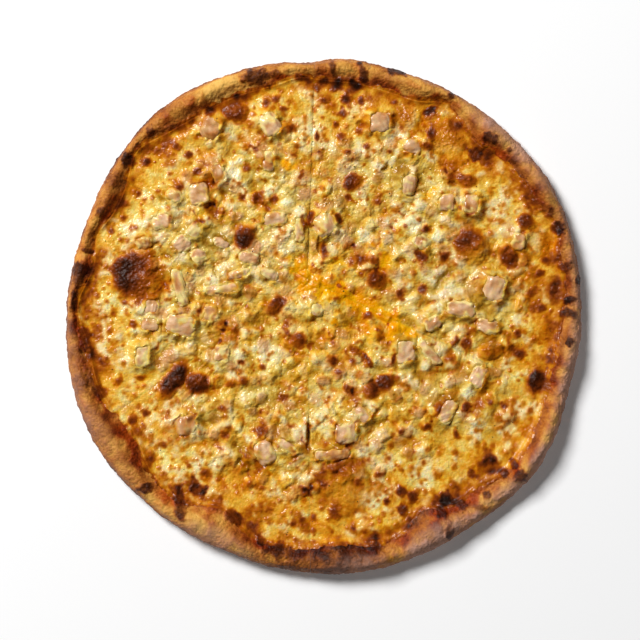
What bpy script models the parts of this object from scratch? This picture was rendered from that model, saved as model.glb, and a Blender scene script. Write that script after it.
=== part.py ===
"""A twelve-inch buffalo chicken pizza, baked and cut into six slices.

Six slices of dough with a puffed rim carry six sheets of melted cheese, and diced chicken
sits half sunk in the cheese. The origin is the middle of the underside, with +Z up.
Lengths are metres.
"""

import math
import random
from collections import namedtuple

import bmesh
import bpy
from mathutils import Matrix, Vector, noise

MM = 0.001
GAP = 0.3 * MM  # left between neighbouring solids

# Dough: a flat base inside a puffed rim
CRUST_RADIUS = 151.6 * MM
RIM_WIDTH = 14.0 * MM
RIM_HEIGHT = 13.5 * MM
FLOOR_HEIGHT = 4.5 * MM
LIP_HEIGHT = 9.3 * MM  # where the rim's inner slope meets the cheese
RIM_STEPS = 160  # faces round the rim
RIM_ROUGHNESS = 1.1 * MM
RIM_LUMP_LENGTH = 21.0 * MM

# Cheese: a melted sheet on the base
CHEESE_TOP = 9.3 * MM
CHEESE_EDGE_TOP = 8.7 * MM
CHEESE_EDGE_SLOPE = 7.0 * MM  # the sheet thins over this last stretch
CHEESE_ROUGHNESS = 0.7 * MM
CHEESE_LUMP_LENGTH = 13.0 * MM
MOUND_HEIGHT = 1.1 * MM  # the cheese rises round each piece of chicken
MOUND_RADIUS = 9.5 * MM

# Chicken: diced pieces pressed into the cheese
CHICKEN_BOTTOM = 6.4 * MM
CHICKEN_BEVEL = 0.24  # share of a piece's smallest side
CHICKEN_UNEVEN = 0.07  # share of a piece's half sides
CHICKEN_END_DROP = 0.6 * MM  # how far a tilted piece's end may sink
CHICKEN_SEED = 12

# Cuts: three passes of the knife that cross away from the middle
CUT_CROSSING = Vector((-9.8 * MM, 22.0 * MM, 0.0))
CUT_ANGLES = (36.1, 88.0, 151.8, 215.0, 270.7, 334.8, 396.1)
CUT_WIDTH = 0.8 * MM
WEDGE_LENGTH = 260.0 * MM
WEDGE_HEIGHT = 60.0 * MM

# A swell is a smooth bulge round the rim: its direction in degrees, its amount in
# millimetres and its spread in degrees.
Swell = namedtuple("Swell", "direction amount spread")

OUTLINE_SWELLS = (
    Swell(28, 2.4, 16),
    Swell(72, -1.2, 8),
    Swell(94, -2.6, 5),
    Swell(128, 3.4, 15),
    Swell(160, -1.2, 11),
    Swell(206, 3.2, 20),
    Swell(247, -1.0, 8),
    Swell(280, 1.4, 14),
    Swell(324, 3.6, 12),
    Swell(344, -1.0, 7),
)

WIDTH_SWELLS = (
    Swell(8, -4.0, 7),
    Swell(20, -6.0, 4),
    Swell(48, 3.0, 5),
    Swell(60, -6.0, 4),
    Swell(95, -5.0, 5),
    Swell(123, 2.0, 7),
    Swell(139, -6.5, 6),
    Swell(161, -5.0, 5),
    Swell(178, -7.0, 7),
    Swell(211, 9.0, 9),
    Swell(242, 9.0, 7),
    Swell(274, 5.0, 9),
    Swell(297, 11.0, 6),
    Swell(311, 4.0, 5),
)

HEIGHT_SWELLS = (
    Swell(20, -1.5, 5),
    Swell(31, 2.0, 7),
    Swell(48, 2.5, 7),
    Swell(68, 1.8, 6),
    Swell(121, 2.0, 8),
    Swell(140, -1.0, 5),
    Swell(150, 1.4, 5),
    Swell(178, -1.2, 9),
    Swell(211, 3.6, 10),
    Swell(240, 3.2, 7),
    Swell(251, 2.4, 5),
    Swell(275, 2.0, 10),
    Swell(297, 3.6, 6),
    Swell(330, 2.2, 8),
    Swell(350, 2.0, 7),
)

# A blister is a bubble of cheese: its middle, length, width and height in millimetres and
# the turn of its length in degrees.
Blister = namedtuple("Blister", "x y length width turn height")

BLISTERS = (
    Blister(-109, 24.5, 31, 26, 0, 7.0),
    Blister(-46.5, 47, 15, 13, 60, 4.5),
    Blister(-88.5, -38, 25, 11, 52, 3.5),
    Blister(-74, -39, 15, 13, 0, 4.0),
    Blister(17, 79, 11, 10, 0, 3.5),
    Blister(31, 21, 12, 11, 0, 4.0),
    Blister(35.5, -38.5, 12, 10, 30, 3.0),
    Blister(28.5, -43, 11, 9, 80, 3.0),
    Blister(-28.5, 6, 14, 9, 48, 2.5),
    Blister(-15, -14.5, 10, 9, 0, 2.0),
    Blister(87, 42, 22, 20, -30, 5.0),
    Blister(108.5, 36, 15, 10, 95, 4.0),
    Blister(118.5, 56, 10, 9, 0, 3.0),
    Blister(84, 79.5, 10, 8, -10, 3.0),
    Blister(-51.5, 120, 14, 10, 5, 3.5),
    Blister(98, -20, 17, 10, -5, 2.0),
    Blister(126, -38.5, 13, 11, -35, 3.5),
    Blister(50, 118, 15, 14, 0, 2.5),
    Blister(74, 103, 25, 22, -45, 2.5),
    Blister(14, -98, 30, 36, 0, 2.5),
)

# A piece of chicken: its middle, length, width and height in millimetres and the turn of
# its length in degrees. One group for each slice, in the order of the cuts.
Chunk = namedtuple("Chunk", "x y length width height turn")

CHICKEN = (
    (
        Chunk(33, 114, 13, 12, 7, 0),
        Chunk(52, 99.5, 11, 8, 6.5, -20),
        Chunk(50, 77.5, 12, 9, 7, 90),
        Chunk(0.5, 54, 13.5, 13, 7.5, 30),
    ),
    (
        Chunk(-14.3, 51.5, 15, 6.5, 6, 90),
        Chunk(-29, 57.5, 14, 8, 6, 5),
        Chunk(-32.5, 91, 12, 7, 6, 90),
        Chunk(-31.5, 113, 14, 11, 8, 118),
        Chunk(-66, 110.5, 12, 11, 7, 70),
        Chunk(-62, 84, 12, 8, 7, 115),
        Chunk(-73.5, 72.5, 13, 11, 6.5, 100),
        Chunk(-88, 71, 9, 7, 6.5, -20),
    ),
    (
        Chunk(-95.5, 56, 12, 9, 6.5, 15),
        Chunk(-76.3, 50.3, 9, 8, 6.5, 45),
        Chunk(-83, 43, 10, 9.5, 7, 45),
        Chunk(-106, 43.5, 9, 7, 6.5, 0),
        Chunk(-74, 35, 9, 9, 6.5, -30),
        Chunk(-60.5, 43, 10, 5.5, 5.5, -10),
        Chunk(-44, 34.5, 12, 7, 7, -15),
        Chunk(-50, 25, 12, 6, 6.5, 10),
        Chunk(-32.5, 25, 11, 6, 6, -20),
        Chunk(-85, 17, 22, 7, 6.5, 103),
        Chunk(-60, 16, 21, 6, 6, 5),
        Chunk(-101, 6, 9.5, 9, 6.5, 90),
        Chunk(-102, -4.5, 10, 8.5, 6.5, 0),
        Chunk(-84, -5, 16, 12.5, 7.5, -10),
        Chunk(-66.5, 1.5, 10, 9, 6, 90),
        Chunk(-107, -23.5, 13, 9, 7, 85),
    ),
    (
        Chunk(-60, -22, 10, 9, 6.5, 90),
        Chunk(-80.5, -64, 12, 12, 6.5, 5),
        Chunk(-35, -80.5, 14, 10.5, 6.5, 120),
        Chunk(-21, -77, 13, 7, 6, -38),
    ),
    (
        Chunk(-4.3, 4, 8, 8, 6, 0),
        Chunk(48, -20.5, 14, 11, 7, 95),
        Chunk(62.5, -21.5, 17, 6, 6.5, -50),
        Chunk(91, -35.5, 12, 9, 6.5, 70),
        Chunk(72.5, -56, 14, 9, 6, 60),
        Chunk(22, -57, 12, 7, 6, -50),
        Chunk(13, -69, 13.5, 12, 7, 10),
        Chunk(5, -81.3, 21, 7, 6.5, 3),
    ),
    (
        Chunk(64, -4, 10, 8, 6.5, 20),
        Chunk(80.5, 4, 16.5, 9.5, 7.5, -5),
        Chunk(96.5, -6, 13, 8, 6.5, -15),
        Chunk(100, 16.5, 15, 12.5, 8.5, 75),
        Chunk(114.5, 44, 10, 8, 6.5, 80),
        Chunk(87, 66, 12, 10, 7, 80),
        Chunk(72.5, 67, 10, 10, 6.5, 0),
        Chunk(57.5, 43.5, 10, 8, 6, -30),
    ),
)


def new_collection(name):
    """Makes a collection in the scene."""
    collection = bpy.data.collections.new(name)
    bpy.context.scene.collection.children.link(collection)
    return collection


def new_material(name, colour, roughness):
    """Makes a plain Principled material without any metal."""
    material = bpy.data.materials.new(name)
    material.use_nodes = True
    shader = material.node_tree.nodes["Principled BSDF"]
    shader.inputs["Base Color"].default_value = (*colour, 1.0)
    shader.inputs["Roughness"].default_value = roughness
    shader.inputs["Metallic"].default_value = 0.0
    return material


def object_from(bm, name, collection, material=None):
    """Turns a bmesh into an object of a collection, shaded smooth over its gentle bends."""
    mesh = bpy.data.meshes.new(name)
    bm.to_mesh(mesh)
    bm.free()
    mesh.shade_smooth()
    mesh.set_sharp_from_angle(angle=math.radians(50))
    obj = bpy.data.objects.new(name, mesh)
    if material:
        mesh.materials.append(material)
    collection.objects.link(obj)
    return obj


def hide_cutter(obj):
    """Marks an object as a cutter that isn't part of the pizza."""
    obj.hide_render = True
    obj.display_type = "WIRE"


def add_boolean(obj, cutter, operation):
    """Cuts an object, or keeps only what lies inside the cutter."""
    modifier = obj.modifiers.new(cutter.name, "BOOLEAN")
    modifier.operation = operation
    modifier.solver = "EXACT"
    modifier.object = cutter


# ---- The rim's shape round the pizza


def swelling(swells, angle):
    """The sum of the swells, in metres, in a direction given in radians."""
    total = 0.0
    for swell in swells:
        turn = (math.degrees(angle) - swell.direction + 180.0) % 360.0 - 180.0
        total += swell.amount * math.exp(-((turn / swell.spread) ** 2))
    return total * MM


def crust_radius(angle):
    return CRUST_RADIUS + swelling(OUTLINE_SWELLS, angle)


def rim_width(angle):
    return RIM_WIDTH + swelling(WIDTH_SWELLS, angle)


def rim_height(angle):
    return RIM_HEIGHT + swelling(HEIGHT_SWELLS, angle)


def outline_point(angle, inward=0.0):
    """A point at a distance inside the outer edge, with the outline's box still off the middle."""
    radius = crust_radius(angle) - inward
    return Vector((radius * math.cos(angle), radius * math.sin(angle), 0.0))


def outline_middle():
    """The middle of the box round the outline."""
    points = [outline_point(math.tau * step / RIM_STEPS) for step in range(RIM_STEPS)]
    low = Vector([min(point[axis] for point in points) for axis in range(3)])
    high = Vector([max(point[axis] for point in points) for axis in range(3)])
    return (low + high) / 2


OUTLINE_MIDDLE = outline_middle()


def plan_point(angle, inward=0.0):
    """A point at a distance inside the outer edge, with the outline's box round the origin."""
    return outline_point(angle, inward) - OUTLINE_MIDDLE


def lump(point, length):
    """Smooth unevenness between about -1 and 1, with bumps of a given length."""
    return 2.0 * noise.noise(point / length)


# ---- Dough


def rim_section(angle):
    """The dough's section in one direction: (distance inside the outer edge, height) pairs,
    from the underside, round the outside and over the crest to the foot of the cheese."""
    width = rim_width(angle)
    height = rim_height(angle)
    return (
        (4.5 * MM, 0.0),
        (1.3 * MM, 1.6 * MM),
        (0.0, 0.36 * height),
        (0.9 * MM, 0.68 * height),
        (0.22 * width, 0.93 * height),
        (0.48 * width, height),
        (0.78 * width, LIP_HEIGHT + 0.45 * (height - LIP_HEIGHT)),
        (width, LIP_HEIGHT),
        (width, FLOOR_HEIGHT),
    )


def make_dough_disc():
    """The whole disc of dough: a section spun into rings, each ring then set to the rim's shape."""
    bm = bmesh.new()
    rings = len(rim_section(0.0))
    section = [bm.verts.new((1.0, 0.0, ring)) for ring in range(rings)]
    for low, high in zip(section, section[1:]):
        bm.edges.new((low, high))
    bmesh.ops.spin(
        bm,
        geom=[*bm.verts, *bm.edges],
        axis=(0.0, 0.0, 1.0),
        cent=(0.0, 0.0, 0.0),
        angle=math.tau,
        steps=RIM_STEPS,
        use_merge=True,
    )
    for vert in bm.verts:
        angle = math.atan2(vert.co.y, vert.co.x)
        ring = round(vert.co.z)
        inward, height = rim_section(angle)[ring]
        point = plan_point(angle, inward)
        point.z = height
        if 1 < ring < rings - 2:
            point.z += RIM_ROUGHNESS * lump(point, RIM_LUMP_LENGTH) * height / RIM_HEIGHT
        vert.co = point
    bmesh.ops.holes_fill(bm, edges=[edge for edge in bm.edges if edge.is_boundary])
    bmesh.ops.triangulate(bm, faces=bm.faces)
    bmesh.ops.recalc_face_normals(bm, faces=bm.faces)
    return bm


# ---- Cheese


def blister_height(blister, x, y):
    """The rise of one blister above the sheet at a point, as a round-topped dome."""
    turn = math.radians(blister.turn)
    across = x - blister.x * MM
    along = y - blister.y * MM
    u = across * math.cos(turn) + along * math.sin(turn)
    v = along * math.cos(turn) - across * math.sin(turn)
    distance = math.hypot(u / (blister.length * MM / 2), v / (blister.width * MM / 2))
    if distance >= 1.0:
        return 0.0
    return blister.height * MM * (1.0 - distance**2) ** 0.75


def mound_height(x, y):
    """The rise of the sheet round the pieces of chicken."""
    near = 0.0
    for pieces in CHICKEN:
        for piece in pieces:
            distance = math.hypot(x - piece.x * MM, y - piece.y * MM)
            near = max(near, math.exp(-((distance / MOUND_RADIUS) ** 2)))
    return MOUND_HEIGHT * near


def cheese_height(x, y, from_edge):
    """The height of the cheese's top at a point, given its distance from the sheet's edge."""
    inside = min(1.0, from_edge / CHEESE_EDGE_SLOPE)
    height = CHEESE_EDGE_TOP + (CHEESE_TOP - CHEESE_EDGE_TOP) * inside
    height += inside * CHEESE_ROUGHNESS * lump(Vector((x, y, 0.0)), CHEESE_LUMP_LENGTH)
    height += inside * mound_height(x, y)
    height += inside * max(blister_height(blister, x, y) for blister in BLISTERS)
    return height


def make_cheese_disc():
    """The whole sheet of cheese: a square grid rounded to the rim's inner edge, then given
    its relief and a flat underside."""
    bm = bmesh.new()
    half = RIM_STEPS // 8
    bmesh.ops.create_grid(bm, x_segments=2 * half, y_segments=2 * half, size=1.0)
    for vert in bm.verts:
        across, along = vert.co.x, vert.co.y
        ring = max(abs(across), abs(along))
        if ring == 0.0:
            angle = 0.0
        elif abs(across) >= abs(along):
            angle = math.pi / 4 * along / across + (math.pi if across < 0.0 else 0.0)
        else:
            angle = math.pi / 2 - math.pi / 4 * across / along + (math.pi if along < 0.0 else 0.0)
        edge = plan_point(angle, rim_width(angle) + GAP)
        point = edge * ring
        from_edge = edge.length * (1.0 - ring)
        vert.co = (point.x, point.y, cheese_height(point.x, point.y, from_edge))
    skirt = bmesh.ops.extrude_edge_only(bm, edges=[edge for edge in bm.edges if edge.is_boundary])
    for item in skirt["geom"]:
        if isinstance(item, bmesh.types.BMVert):
            item.co.z = FLOOR_HEIGHT + GAP
    bmesh.ops.holes_fill(bm, edges=[edge for edge in bm.edges if edge.is_boundary])
    bmesh.ops.triangulate(bm, faces=bm.faces)
    bmesh.ops.recalc_face_normals(bm, faces=bm.faces)
    return bm


# ---- Cuts


def make_wedge(number, cutters):
    """The prism that holds one slice, half a cut's width clear of each of its two cuts."""
    start = math.radians(CUT_ANGLES[number])
    end = math.radians(CUT_ANGLES[number + 1])
    middle = (start + end) / 2
    setback = CUT_WIDTH / 2 / math.sin((end - start) / 2)
    tip = CUT_CROSSING + setback * Vector((math.cos(middle), math.sin(middle), 0.0))
    bm = bmesh.new()
    corners = [bm.verts.new(tip)]
    for angle in (start, end):
        reach = WEDGE_LENGTH * Vector((math.cos(angle), math.sin(angle), 0.0))
        corners.append(bm.verts.new(tip + reach))
    floor = bm.faces.new(corners)
    top = bmesh.ops.extrude_face_region(bm, geom=[floor])
    raised = [item for item in top["geom"] if isinstance(item, bmesh.types.BMVert)]
    bmesh.ops.translate(bm, verts=raised, vec=(0.0, 0.0, WEDGE_HEIGHT))
    bmesh.ops.translate(bm, verts=bm.verts, vec=(0.0, 0.0, -WEDGE_HEIGHT / 2))
    bmesh.ops.recalc_face_normals(bm, faces=bm.faces)
    wedge = object_from(bm, f"slice_wedge_{number + 1}", cutters)
    hide_cutter(wedge)
    return wedge


# ---- Chicken


def make_chunk(piece, draw, grown=0.0):
    """A diced piece: a box with broken edges and uneven corners, lying a little tilted.
    With grown, the same piece swollen on every side, as the cutter of its socket."""
    size = Vector((piece.length, piece.width, piece.height)) * MM
    bm = bmesh.new()
    bmesh.ops.create_cube(bm, size=1.0, matrix=Matrix.Diagonal((*size, 1.0)))
    bmesh.ops.bevel(
        bm,
        geom=bm.edges[:],
        offset=CHICKEN_BEVEL * min(size),
        segments=1,
        profile=0.5,
        affect="EDGES",
        material=-1,
    )
    for vert in bm.verts:
        for axis in range(3):
            vert.co[axis] += draw.uniform(-1, 1) * CHICKEN_UNEVEN * size[axis] / 2
    most_tilt = math.atan2(CHICKEN_END_DROP, size.x / 2)
    roll = Matrix.Rotation(draw.uniform(-1, 1) * most_tilt, 4, "X")
    pitch = Matrix.Rotation(draw.uniform(-1, 1) * most_tilt, 4, "Y")
    turn = Matrix.Rotation(math.radians(piece.turn), 4, "Z")
    place = Vector((piece.x * MM, piece.y * MM, CHICKEN_BOTTOM + size.z / 2))
    bmesh.ops.transform(bm, matrix=Matrix.Translation(place) @ turn @ pitch @ roll, verts=bm.verts)
    bmesh.ops.triangulate(bm, faces=bm.faces)
    bm.normal_update()
    if grown:
        moves = [vert.normal * vert.calc_shell_factor() * grown for vert in bm.verts]
        for vert, move in zip(bm.verts, moves):
            vert.co += move
    return bm


# ---- The pizza


def build_pizza():
    for obj in list(bpy.data.objects):
        bpy.data.objects.remove(obj)
    pizza = new_collection("buffalo_chicken_pizza")
    cutters = new_collection("cutters")
    dough_material = new_material("baked_dough", (0.56, 0.29, 0.10), 0.6)
    cheese_material = new_material("melted_cheese", (0.82, 0.55, 0.18), 0.35)
    chicken_material = new_material("diced_chicken", (0.68, 0.42, 0.26), 0.5)

    count = 0
    for number, pieces in enumerate(CHICKEN):
        wedge = make_wedge(number, cutters)
        dough = object_from(make_dough_disc(), f"dough_{number + 1}", pizza, dough_material)
        cheese = object_from(make_cheese_disc(), f"cheese_{number + 1}", pizza, cheese_material)
        add_boolean(dough, wedge, "INTERSECT")
        add_boolean(cheese, wedge, "INTERSECT")
        for piece in pieces:
            count += 1
            seed = CHICKEN_SEED + count
            chunk = make_chunk(piece, random.Random(seed))
            object_from(chunk, f"chicken_{count:02d}", pizza, chicken_material)
            swollen = make_chunk(piece, random.Random(seed), grown=GAP)
            socket = object_from(swollen, f"socket_{count:02d}", cutters)
            hide_cutter(socket)
            add_boolean(cheese, socket, "DIFFERENCE")


build_pizza()
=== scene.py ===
"""A buffalo chicken pizza, baked and cut into six slices that still lie together.

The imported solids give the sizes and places. Dough, cheese and chicken are modelled again
here with the fine relief, browning and oil that the solids leave out. Lengths in the plan
of the pizza are in millimetres.
"""

import math
from collections import namedtuple

import bmesh
import bpy
import numpy as np
from mathutils import Matrix, Vector, noise
from mathutils.bvhtree import BVHTree


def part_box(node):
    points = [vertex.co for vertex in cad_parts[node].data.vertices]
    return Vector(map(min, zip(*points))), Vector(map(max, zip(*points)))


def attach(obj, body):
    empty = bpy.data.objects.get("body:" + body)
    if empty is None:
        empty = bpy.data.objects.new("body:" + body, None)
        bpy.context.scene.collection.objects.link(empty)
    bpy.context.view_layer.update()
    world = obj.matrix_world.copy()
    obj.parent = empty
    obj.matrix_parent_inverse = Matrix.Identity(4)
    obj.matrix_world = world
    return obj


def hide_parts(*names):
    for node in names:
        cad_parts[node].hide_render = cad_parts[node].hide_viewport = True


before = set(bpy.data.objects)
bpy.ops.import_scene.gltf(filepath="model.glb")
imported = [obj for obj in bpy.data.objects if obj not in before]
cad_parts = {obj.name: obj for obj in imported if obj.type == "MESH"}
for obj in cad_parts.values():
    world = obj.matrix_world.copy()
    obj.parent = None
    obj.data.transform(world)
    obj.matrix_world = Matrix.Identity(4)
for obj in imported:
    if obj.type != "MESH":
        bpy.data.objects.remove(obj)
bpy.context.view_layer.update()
MM = 0.001

# ---- Crust: six slices of baked dough
# The real crust is one disc of stretched dough. Its rim puffs up in the oven and browns
# from gold to char on its blisters, and the knife then cuts it into six.

CRUST_RADIUS = 151.6
RIM_WIDTH = 14.0
RIM_HEIGHT = 13.5
RIM_PEAK = 16.7  # above this height the rim swells only half as much
FLOOR_HEIGHT = 4.5
LIP_HEIGHT = 9.3
GAP = 0.3

# A swell is a smooth bulge round the rim: direction in degrees, amount, spread in degrees.
OUTLINE_SWELLS = (
    (28, 2.4, 16), (72, -1.2, 8), (94, -2.6, 5), (128, 3.4, 15), (160, -1.2, 11), (206, 3.2, 20),
    (247, -1, 8), (280, 1.4, 14), (324, 3.6, 12), (344, -1, 7),
)  # fmt: skip
WIDTH_SWELLS = (
    (8, -4, 7), (20, -6, 4), (48, 3, 5), (60, -6, 4), (95, -5, 5), (123, 2, 7), (139, -6.5, 6),
    (161, -5, 5), (178, -7, 7), (211, 9, 9), (242, 9, 7), (274, 5, 9), (297, 11, 6), (311, 4, 5),
)  # fmt: skip
HEIGHT_SWELLS = (
    (20, -1.5, 5), (31, 2, 7), (48, 2.5, 7), (68, 1.8, 6), (121, 2, 8), (140, -1, 5), (150, 1.4, 5),
    (178, -1.2, 9), (211, 3.6, 10), (240, 3.2, 7), (251, 2.4, 5), (275, 2, 10), (297, 3.6, 6),
    (330, 2.2, 8), (350, 2, 7),
)  # fmt: skip
FLOUR_SWELLS = (
    (293, 0.8, 16), (322, 0.8, 16), (350, 0.55, 10), (42, 0.5, 12), (244, 0.35, 9), (10, 0.25, 12),
    (200, 0.15, 20),
)  # fmt: skip
GOLD_SWELLS = (
    (114, 0.5, 7), (240, 0.16, 10), (193, -0.22, 8), (66, 0.1, 8), (268, -0.38, 8), (281, -0.3, 6),
    (295, -0.16, 6), (316, 0.12, 5), (16, -0.12, 6), (31, -0.1, 6), (150, -0.1, 6), (228, 0.14, 6),
)  # fmt: skip


def swelling(swells, angle):
    """The sum of the swells in each direction, given in radians."""
    total = 0.0 * angle
    for direction, amount, spread in swells:
        turn = (np.degrees(angle) - direction + 180.0) % 360.0 - 180.0
        total = total + amount * np.exp(-((turn / spread) ** 2))
    return total


def crust_radius(angle):
    return CRUST_RADIUS + swelling(OUTLINE_SWELLS, angle)


def rim_width(angle):
    return RIM_WIDTH + swelling(WIDTH_SWELLS, angle)


def rim_height(angle):
    return RIM_HEIGHT + swelling(HEIGHT_SWELLS, angle)


compass = np.arange(160) * math.tau / 160
outline = crust_radius(compass) * np.array((np.cos(compass), np.sin(compass)))
MIDDLE = (outline.min(axis=1) + outline.max(axis=1)) / 2


def bearing(x, y):
    """Direction and distance of a place from the point that the outline is drawn round."""
    return np.arctan2(y + MIDDLE[1], x + MIDDLE[0]), np.hypot(x + MIDDLE[0], y + MIDDLE[1])


# The plan is a fine grid over the pizza. A map holds one value for each of its places.
REACH = 157.0
CELL = 0.25
PLACES = np.arange(-REACH, REACH + CELL / 2, CELL)
PLAN_X, PLAN_Y = np.meshgrid(PLACES, PLACES)


def unevenness(length, seed):
    """A map of smooth random bumps about one length wide, with a spread of one."""
    knots = int(2 * REACH / length) + 4
    draw = np.random.default_rng(seed).standard_normal((knots, knots))
    place = (PLACES + REACH) / length
    whole = np.floor(place).astype(int)
    part = place - whole
    weights = np.zeros((len(PLACES), knots))
    shares = (
        (1 - part) ** 3,
        3 * part**3 - 6 * part**2 + 4,
        -3 * part**3 + 3 * part**2 + 3 * part + 1,
        part**3,
    )
    for step, share in enumerate(shares):
        weights[np.arange(len(PLACES)), whole + step] = share / 6
    bumps = weights @ draw @ weights.T
    return bumps / bumps.std()


def read(plan, x, y):
    """The values of a map at any places."""
    column = np.clip((x + REACH) / CELL, 0, len(PLACES) - 1.01)
    row = np.clip((y + REACH) / CELL, 0, len(PLACES) - 1.01)
    i, j = column.astype(int), row.astype(int)
    u, v = column - i, row - j
    low = plan[j, i] * (1 - u) + plan[j, i + 1] * u
    high = plan[j + 1, i] * (1 - u) + plan[j + 1, i + 1] * u
    return low * (1 - v) + high * v


def stirred(plan, push, seed, length):
    """A map with its places pushed about, as when something soft has flowed."""
    across = PLAN_X + push * unevenness(length, seed)
    along = PLAN_Y + push * unevenness(length, seed + 1)
    return read(plan, across, along)


COARSE_RAGS = 0.6 * unevenness(4.0, 11) + 0.4 * unevenness(1.8, 12)
FINE_RAGS = 0.6 * unevenness(1.9, 13) + 0.4 * unevenness(0.9, 14)


def plan_part(x, y, far_x, far_y):
    """The rows and columns of the plan that lie within a distance of a place."""
    ends = np.array(((y - far_y, y + far_y), (x - far_x, x + far_x)))
    return tuple(slice(*pair) for pair in np.clip((ends + REACH) / CELL, 0, len(PLACES)).astype(int))


def raise_to(plan, where, values):
    """Lifts a part of a map to the values where it is lower."""
    plan[where] = np.maximum(plan[where], values)


def oval(x, y, length, width, turn=0.0, ragged=0.0, reach=1.0, rags=FINE_RAGS, corners=2):
    """The part of the plan round an oval, and how far its places lie from the oval's middle,
    with 1 on its edge. With more corners than 2 it is boxy."""
    far = reach * max(length, width) / 2 * (1 + ragged) + 1
    where = plan_part(x, y, far, far)
    across, along = PLAN_X[where] - x, PLAN_Y[where] - y
    cos, sin = math.cos(math.radians(turn)), math.sin(math.radians(turn))
    u, v = across * cos + along * sin, along * cos - across * sin
    distance = (np.abs(2 * u / length) ** corners + np.abs(2 * v / width) ** corners) ** (1 / corners)
    return where, distance * (1 + ragged * rags[where])


def smooth(value, low, high):
    """0 below low, 1 above high and an easy slope between."""
    step = np.clip((value - low) / (high - low), 0, 1)
    return step * step * (3 - 2 * step)


def fading(value, low, high):
    """1 below low, 0 above high and an easy slope between."""
    return 1 - smooth(value, low, high)


# A scorch is a dark patch on the rim: middle, length, width, turn in degrees, doneness.
Scorch = namedtuple("Scorch", "x y length width turn tone")
SCORCHES = [Scorch(*row) for row in (
    (-40, 141, 17, 12, 0, 0.95), (-71, 125, 5, 10, 15, 0.46), (-78, 115, 9, 5, 50, 0.64),
    (-90, 111, 9, 5, 20, 0.76), (-102, 108.5, 7, 5, 10, 0.86), (-96, 110, 18, 4, 12, 0.48),
    (-116, 92, 12, 11, 20, 0.98), (-110, 99, 7, 6, 40, 0.74), (-131, 61, 6.5, 7.5, 0, 0.78),
    (-139, 38.5, 10, 4, -15, 0.9), (-132, 35.5, 8, 4, -25, 0.46), (-142, 26, 17, 14, 0, 0.88),
    (-146.5, 10, 5, 17, 5, 0.88), (-140.5, -12, 9, 18, 8, 0.84), (-134, -10, 9, 16, 0, 0.5),
    (-135, -36, 9, 22, 16, 0.5), (-131, -45, 11, 8, -10, 0.8), (-104, -100, 13, 7, 15, 0.89),
    (-84.5, -109, 8, 24, 8, 0.86), (-75, -101.5, 10, 15, 30, 0.86), (-64.5, -108, 15, 5, -20, 0.52),
    (-53, -117.5, 15, 9, -20, 0.78), (-43, -124, 13, 6, -50, 0.76), (-37, -131, 6, 9, 15, 0.88),
    (-28, -137.5, 19, 10, -10, 0.9), (31, -135, 8, 8, 0, 0.82), (72, -106, 9, 7, 10, 0.86),
    (80, -110, 16, 7, -12, 0.9), (69, -115, 8, 9, 40, 0.86), (74, -127, 7, 13, 10, 0.94),
    (91, -112, 15, 4, -8, 0.62), (96, -105, 6, 6, 0, 0.9), (115, -94, 8, 8, -35, 0.9),
    (98, -83, 8, 7, 0, 0.66), (106, -92, 8, 8, 40, 0.9), (112, -87, 6, 8, 20, 0.84),
    (87, -93, 5, 7, 10, 0.82), (126, -38, 11, 10, 0, 0.97), (144, -15, 6, 5, 0, 0.95),
    (144, 2, 12, 8, 0, 0.97), (145, 10, 10, 5, 10, 0.97), (150, 22, 6, 8, 0, 0.94),
    (142, 29, 9, 8, 20, 0.72), (138, 52, 9.5, 10, 0, 0.98), (133, 60, 8, 6, 60, 0.78),
    (127, 65, 12, 8, -30, 0.53), (118, 73, 12, 7, -50, 0.42), (112, 82, 12, 5, -60, 0.6),
    (98, 104, 10, 6, -10, 0.9), (90, 95, 11, 10, 30, 0.88), (109, 98, 5, 4, 0, 0.82),
    (83, 112, 14, 4, -50, 0.42), (75, 130, 5.5, 5, 0, 0.97), (62, 121, 12, 5, 30, 0.92),
    (43, 144, 13, 6, -5, 0.95), (23, 142, 6, 15, 8, 0.88), (5, 146, 4.5, 10, 5, 0.88),
    (-15, 141, 6, 5, 0, 0.8), (-29, 143, 9, 6, 10, 0.7), (15, 140, 9, 5, 20, 0.66),
)]  # fmt: skip

RIM_TURNS = 1600
RIM_RINGS = 72
RIM_LUMP = 1.1
RIM_LUMP_LENGTH = 21.0
RIM_DIMPLE = 0.42
RIM_DIMPLE_LENGTH = 5.0
RIM_GRAIN = 0.24
RIM_GRAIN_LENGTH = 1.5
FLOUR_AMOUNT = 1.8
SCORCH_SHARE = 0.9

# Corners of the rim's section from the underside, round the outside and over the crest to
# the foot of the cheese. Each is a distance inside the outer edge and a height, both given
# as a length and a share of the rim's own width or height.
RIM_CORNERS = (
    (4.5, 0, 0, 0), (1.3, 0, 1.6, 0), (0, 0, 0, 0.36), (0.9, 0, 0, 0.68), (0, 0.22, 0, 0.93), (0, 0.48, 0, 1),
    (0, 0.78, 0.55 * LIP_HEIGHT, 0.45), (0, 1, LIP_HEIGHT, 0), (0, 1, FLOOR_HEIGHT, 0),
)  # fmt: skip


def rim_section(angle):
    """The section's corners in each direction: distances inside the outer edge and heights."""
    width, height = rim_width(angle), rim_height(angle)
    inward = [length + share * width for length, share, _, _ in RIM_CORNERS]
    up = [length + share * height for _, _, length, share in RIM_CORNERS]
    return np.array(inward), np.array(up)


def along_section(corners, step):
    """Places on a smooth curve through the section's corners, at steps counted in corners."""
    last = len(corners) - 1
    whole = np.clip(step.astype(int), 0, last - 1)
    part = step - whole
    column = np.arange(corners.shape[1])
    before, start, end, after = (corners[np.clip(whole + k, 0, last), column] for k in (-1, 0, 1, 2))
    bend = 2 * start + (end - before) * part + (2 * before - 5 * start + 4 * end - after) * part**2
    bend = (bend + (3 * start - before - 3 * end + after) * part**3) / 2
    return np.where(whole == last - 1, start + (end - start) * part, bend)


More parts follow.
